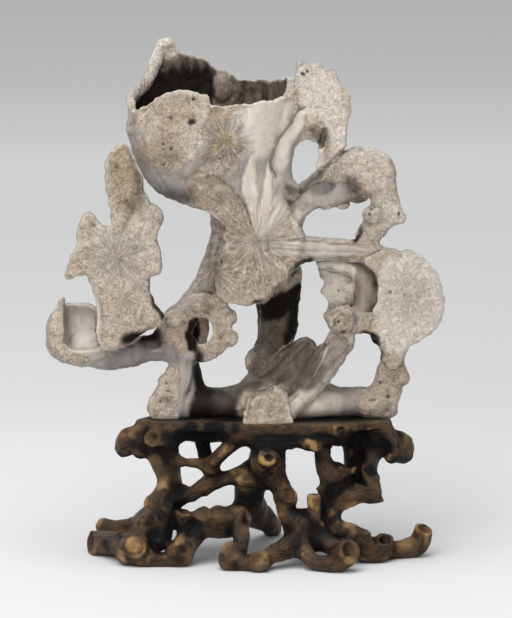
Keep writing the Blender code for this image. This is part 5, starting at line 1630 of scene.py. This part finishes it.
def finish_stone(groups):
    """Weathered grey stone: rough cream crust with brown flecks over smooth grey walls, ochre and brown
    stains, white crystal rays, and hollows darkened by dirt and painted shade."""
    material, tree, surface, place_at = new_material("weathered_stone")
    front = tree.mask("front")
    broad = tree.noise(place_at, 45.0, 4.0, 0.6)
    middle = tree.noise(place_at, 170.0, 5.0, 0.68)
    small = tree.noise(place_at, 560.0, 3.0, 0.6)
    grain = tree.group(groups["fine_relief"], {"Place": place_at, "Grains": 430.0})
    folds = tree.noise(place_at, 230.0, 3.0, 0.6, 1.4)
    wrinkle = tree.span(tree.math("ABSOLUTE", folds - 0.5), 0.0, 0.045, 1.0, 0.0)
    streaks = tree.noise(tree.vector("MULTIPLY", place_at, (1.0, 1.0, 0.25)), 120.0, 4.0, 0.6, 1.2)

    # Crust over the smooth walls
    ragged = tree.mask("crust") + (middle - 0.5) * 1.3
    crust = tree.span(ragged, 0.36, 0.6)
    # Painted shade: the walls go toward cool dark grey along streaks and where they are hidden from or
    # turned away from the front
    streaks_and_side_shade = tree.span(streaks, 0.35, 0.65, 0.0, 0.5) + tree.span(front, 0.0, 1.0, 0.45, 0.0)
    wall = tree.blend(streaks_and_side_shade, SMOOTH_GREY, COOL_GREY)
    skin = tree.blend(tree.span(middle, 0.3, 0.5, 0.45, 1.0), SKIN_BROWN, SKIN_LIGHT)
    for patches, span, tone in ((broad, (0.36, 0.5, 0.6, 0.0), SKIN_LILAC),
                                (broad, (0.5, 0.66, 0.0, 0.65), SKIN_MID),
                                (small, (0.55, 0.68, 0.0, 0.5), WORN_STONE)):
        skin = tree.blend(tree.span(patches, *span), skin, tone)
    colour = tree.blend(crust, wall, skin)

    # Stains and pale areas
    stain = tree.mask("stain") * tree.span(middle, 0.3, 0.6, 0.3, 1.0)
    rust = tree.blend(tree.span(broad, 0.4, 0.6), RUST, TAN)
    rust = tree.blend(tree.span(tree.mask("stain"), 0.78, 0.95), rust, OCHRE)
    colour = tree.blend(stain * 0.85, colour, rust)
    pale = tree.span(tree.mask("pale") + middle * 0.7, 0.42, 1.3)
    colour = tree.blend(pale, colour, PALE)

    # Crystal rays, white with brown between them
    raised = None
    between = tree.blend(tree.span(tree.mask("stain"), 0.7, 0.9), ROSE_BROWN, OCHRE)
    for centre, depth, reach, _, share in STARS.values():
        rays = tree.group(groups["crystal_rays"],
                          {"Place": place_at, "Centre": tuple(place(*centre, depth) * SQUARE),
                           "Reach": reach * SQUARE})
        near = rays["Near"] * front
        streak = near * rays["Rays"]
        gap = near * (1.0 - rays["Rays"])
        colour = tree.blend(streak * (0.75 * share), colour, PALE)
        colour = tree.blend(gap * (0.8 * share), colour, between)
        raised = streak if raised is None else tree.math("MAXIMUM", raised, streak)

    # Flecks, specks, folds, and dirt with painted shade in the hollows
    grainy = tree.span(crust, 0.0, 1.0, 0.2, 1.0) * tree.span(pale, 0.0, 1.0, 1.0, 0.22)
    colour = tree.blend(grain["Flecks"] * (grainy * 0.5), colour, BROWN)
    specks = tree.span(tree.noise(place_at, 620.0, 3.0, 0.6), 0.34, 0.47, 1.0, 0.0)
    patches = tree.span(tree.noise(place_at, 120.0, 3.0, 0.6), 0.42, 0.6, 0.12, 0.75)
    colour = tree.blend(specks * (patches * grainy), colour, SKIN_BROWN)
    folded = tree.span(tree.noise(place_at, 75.0), 0.4, 0.62, 0.0, 0.4)
    colour = tree.blend(wrinkle * grainy * folded, colour, BROWN)
    edge = tree.span(ragged, 0.2, 0.45) * tree.span(ragged, 0.45, 0.75, 1.0, 0.0)
    colour = tree.blend(edge * 0.3, colour, BROWN)
    hollow_dirt_and_shade = tree.mask("hollow") * tree.span(pale, 0.0, 1.0, 0.7, 0.25)
    colour = tree.blend(hollow_dirt_and_shade, colour, DARK_BROWN)
    worn = tree.group(groups["worn_edges"],
                      {"Colour": colour, "Worn": WORN_STONE, "Crest": tree.mask("crest") * 0.8,
                       "Place": place_at, "Grains": 260.0})
    dusty = tree.group(groups["settled_dust"],
                       {"Colour": worn["Colour"], "Dust": DUST, "Amount": 0.3, "Place": place_at})
    # Painted shade: the colour goes toward near black where the shade mask is high
    shade = tree.span(tree.mask("shade") + (streaks - 0.5) * 0.3, 0.0, 0.95)
    shade = shade * tree.span(tree.mask("shade"), 0.0, 0.1)
    tree.put(surface["Base Color"], tree.blend(shade, dusty["Colour"], SHADE_BLACK))
    tree.put(surface["Roughness"], tree.span(crust, 0.0, 1.0, 0.62, 0.9) - pale * 0.12)
    surface["Specular IOR Level"].default_value = STONE_SHINE

    # Lumps, ridges of the rays, and grit
    lumps = (middle - 0.5) * tree.span(crust, 0.0, 1.0, 0.12, 1.0)
    ridges = tree.bump(raised, 0.8, RAY_HEIGHT, tree.bump(lumps, 1.0, LUMP_HEIGHT))
    grit = grain["Height"] - wrinkle * 0.35
    grit = (grit - 0.7) * tree.span(crust, 0.0, 1.0, 0.15, 1.0)
    tree.put(surface["Normal"], tree.bump(grit, 1.0, GRIT_HEIGHT, ridges))
    return material


def finish_wood(groups):
    """Dark stained root wood, satin, rubbed golden on the crests and on the sawn twig ends, with painted
    highlight on golden spots that face up and painted shade in its hollows and under the seat.
    """
    material, tree, surface, place_at = new_material("stained_root_wood")
    fibre = tree.mask("fibre", "Vector")
    streaks = tree.noise(fibre, 0.55, 5.0, 0.65, 0.6)
    broad = tree.noise(place_at, 60.0, 3.0, 0.55)
    grain = tree.group(groups["fine_relief"], {"Place": fibre, "Grains": 1.6})
    colour = tree.blend(tree.span(streaks, 0.35, 0.65), WOOD_DARK, WOOD_BROWN)
    colour = tree.blend(tree.span(broad, 0.45, 0.62, 0.0, 0.3), colour, WOOD_TAN)
    reddish = tree.span(tree.noise(place_at, 95.0, 3.0, 0.6), 0.52, 0.64, 0.0, 0.6)
    colour = tree.blend(reddish, colour, WOOD_RED)
    rings = tree.math("SINE", tree.mask("rings") * 62.0)
    sawn = tree.blend(tree.span(rings, -0.8, 0.9), WOOD_RED, WOOD_TAN)
    colour = tree.blend(tree.mask("cut") * 0.14, colour, sawn)
    # Golden wear colour, including the painted highlight on the spots that face up
    colour = tree.blend(tree.span(tree.mask("wear"), 0.05, 0.75), colour, WOOD_TAN)
    worn = tree.group(groups["worn_edges"], {"Colour": colour, "Worn": WOOD_GOLD,
                                             "Crest": tree.mask("wear"), "Place": fibre, "Grains": 0.5})
    colour = tree.blend(grain["Flecks"] * 0.6, worn["Colour"], WOOD_DARK)
    dusty = tree.group(groups["settled_dust"],
                       {"Colour": colour, "Dust": DUST, "Amount": 0.05, "Place": place_at})
    # Painted shade: toward near black where the deep mask is high
    deep = tree.span(tree.mask("deep") + streaks * 0.3, 0.15, 0.9)
    tree.put(surface["Base Color"], tree.blend(deep, dusty["Colour"], WOOD_BLACK))
    tree.put(surface["Roughness"], tree.span(streaks, 0.3, 0.7, 0.22, 0.4) + deep * 0.2)
    surface["Specular IOR Level"].default_value = WOOD_SHINE
    lines = tree.bump(streaks, 0.8, FIBRE_HEIGHT)
    tree.put(surface["Normal"], tree.bump(grain["Height"], 0.5, GRAIN_HEIGHT, lines))
    return material


def finish_floor():
    """Pale grey paper whose tone, painted light and shade, changes with distance from the object, darker
    far off.
    """
    material, tree, surface, place_at = new_material("pale_paper")
    away = tree.vector("LENGTH", place_at, output="Value")
    colour = (FLOOR_LIGHT_TONES[0][1],) * 3
    for (near, _), (far, tone) in zip(FLOOR_LIGHT_TONES[:-1], FLOOR_LIGHT_TONES[1:]):
        colour = tree.blend(tree.span(away, near, far, way="LINEAR"), colour, (tone,) * 3)
    tree.put(surface["Base Color"], colour)
    surface["Roughness"].default_value = PAPER_ROUGHNESS
    return material


# ---------------------------------------------------------------------------------------------
# Stage
def make_floor():
    """Square paper floor: a level grid of points, equally spaced out to its reach each way."""
    steps = np.linspace(-1.0, 1.0, FLOOR_POINTS) * FLOOR_REACH
    across, away = np.meshgrid(steps, steps)
    points = np.stack([across, away, np.zeros_like(across)], axis=-1).reshape(-1, 3)
    index = np.arange(len(points)).reshape(across.shape)
    quads = np.stack([index[:-1, :-1], index[:-1, 1:], index[1:, 1:], index[1:, :-1]], axis=-1)
    floor = mesh_from("floor", points / SQUARE, quads.reshape(-1, 4))
    floor.data.materials.append(finish_floor())
    return floor


def add_area_light(name, position, size, power, colour):
    """Round light that aims at the object's middle."""
    light = bpy.data.lights.new(name, "AREA")
    light.shape = "DISK"
    light.size = size
    light.energy = power
    light.color = colour
    obj = bpy.data.objects.new(name, light)
    obj.location = position
    obj.rotation_euler = (Vector(LIGHT_AIM) - Vector(position)).to_track_quat("-Z", "Y").to_euler()
    bpy.context.scene.collection.objects.link(obj)


def add_camera():
    """Long lens, level with the sheet's middle and tilted down by the sheet's 10 degrees."""
    wide, high = SHEET_SIZE
    data = bpy.data.cameras.new("camera")
    data.sensor_fit = "VERTICAL"
    data.sensor_height = FILM_HEIGHT
    data.lens = FILM_HEIGHT * CAMERA_DISTANCE / (high * SQUARE)
    data.clip_end = CAMERA_FAR
    camera = bpy.data.objects.new("camera", data)
    back = CAMERA_DISTANCE * np.array([0.0, -TILT_COS, TILT_SIN])
    camera.location = place(wide / 2, high / 2, CENTRE_DEPTH) * SQUARE + back
    camera.rotation_euler = (math.pi / 2 - TILT, 0.0, 0.0)
    bpy.context.scene.collection.objects.link(camera)
    bpy.context.scene.camera = camera


def light_stage():
    """Soft daylight from all round, with a large soft light above and one before it at the left."""
    for light in LIGHTS:
        add_area_light(*light)
    world = bpy.data.worlds.new("studio")
    world.use_nodes = True
    background = world.node_tree.nodes["Background"].inputs
    background["Color"].default_value = (*SKY, 1.0)
    background["Strength"].default_value = SKY_STRENGTH
    bpy.context.scene.world = world
    bpy.context.scene.view_settings.view_transform = "Standard"


def main():
    """Stone and stand with their finishes, then the paper, the lights and the camera."""
    groups = {build.__name__.removeprefix("build_"): build()
              for build in (build_fine_relief, build_worn_edges, build_settled_dust, build_crystal_rays)}
    stone, stand = make_stone(), make_stand()
    stone.data.materials.append(finish_stone(groups))
    stand.data.materials.append(finish_wood(groups))
    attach(stone, "root")
    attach(stand, "root")
    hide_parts("rock")
    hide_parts(*[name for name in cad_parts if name.startswith("stand_")])
    make_floor()
    light_stage()
    add_camera()


main()
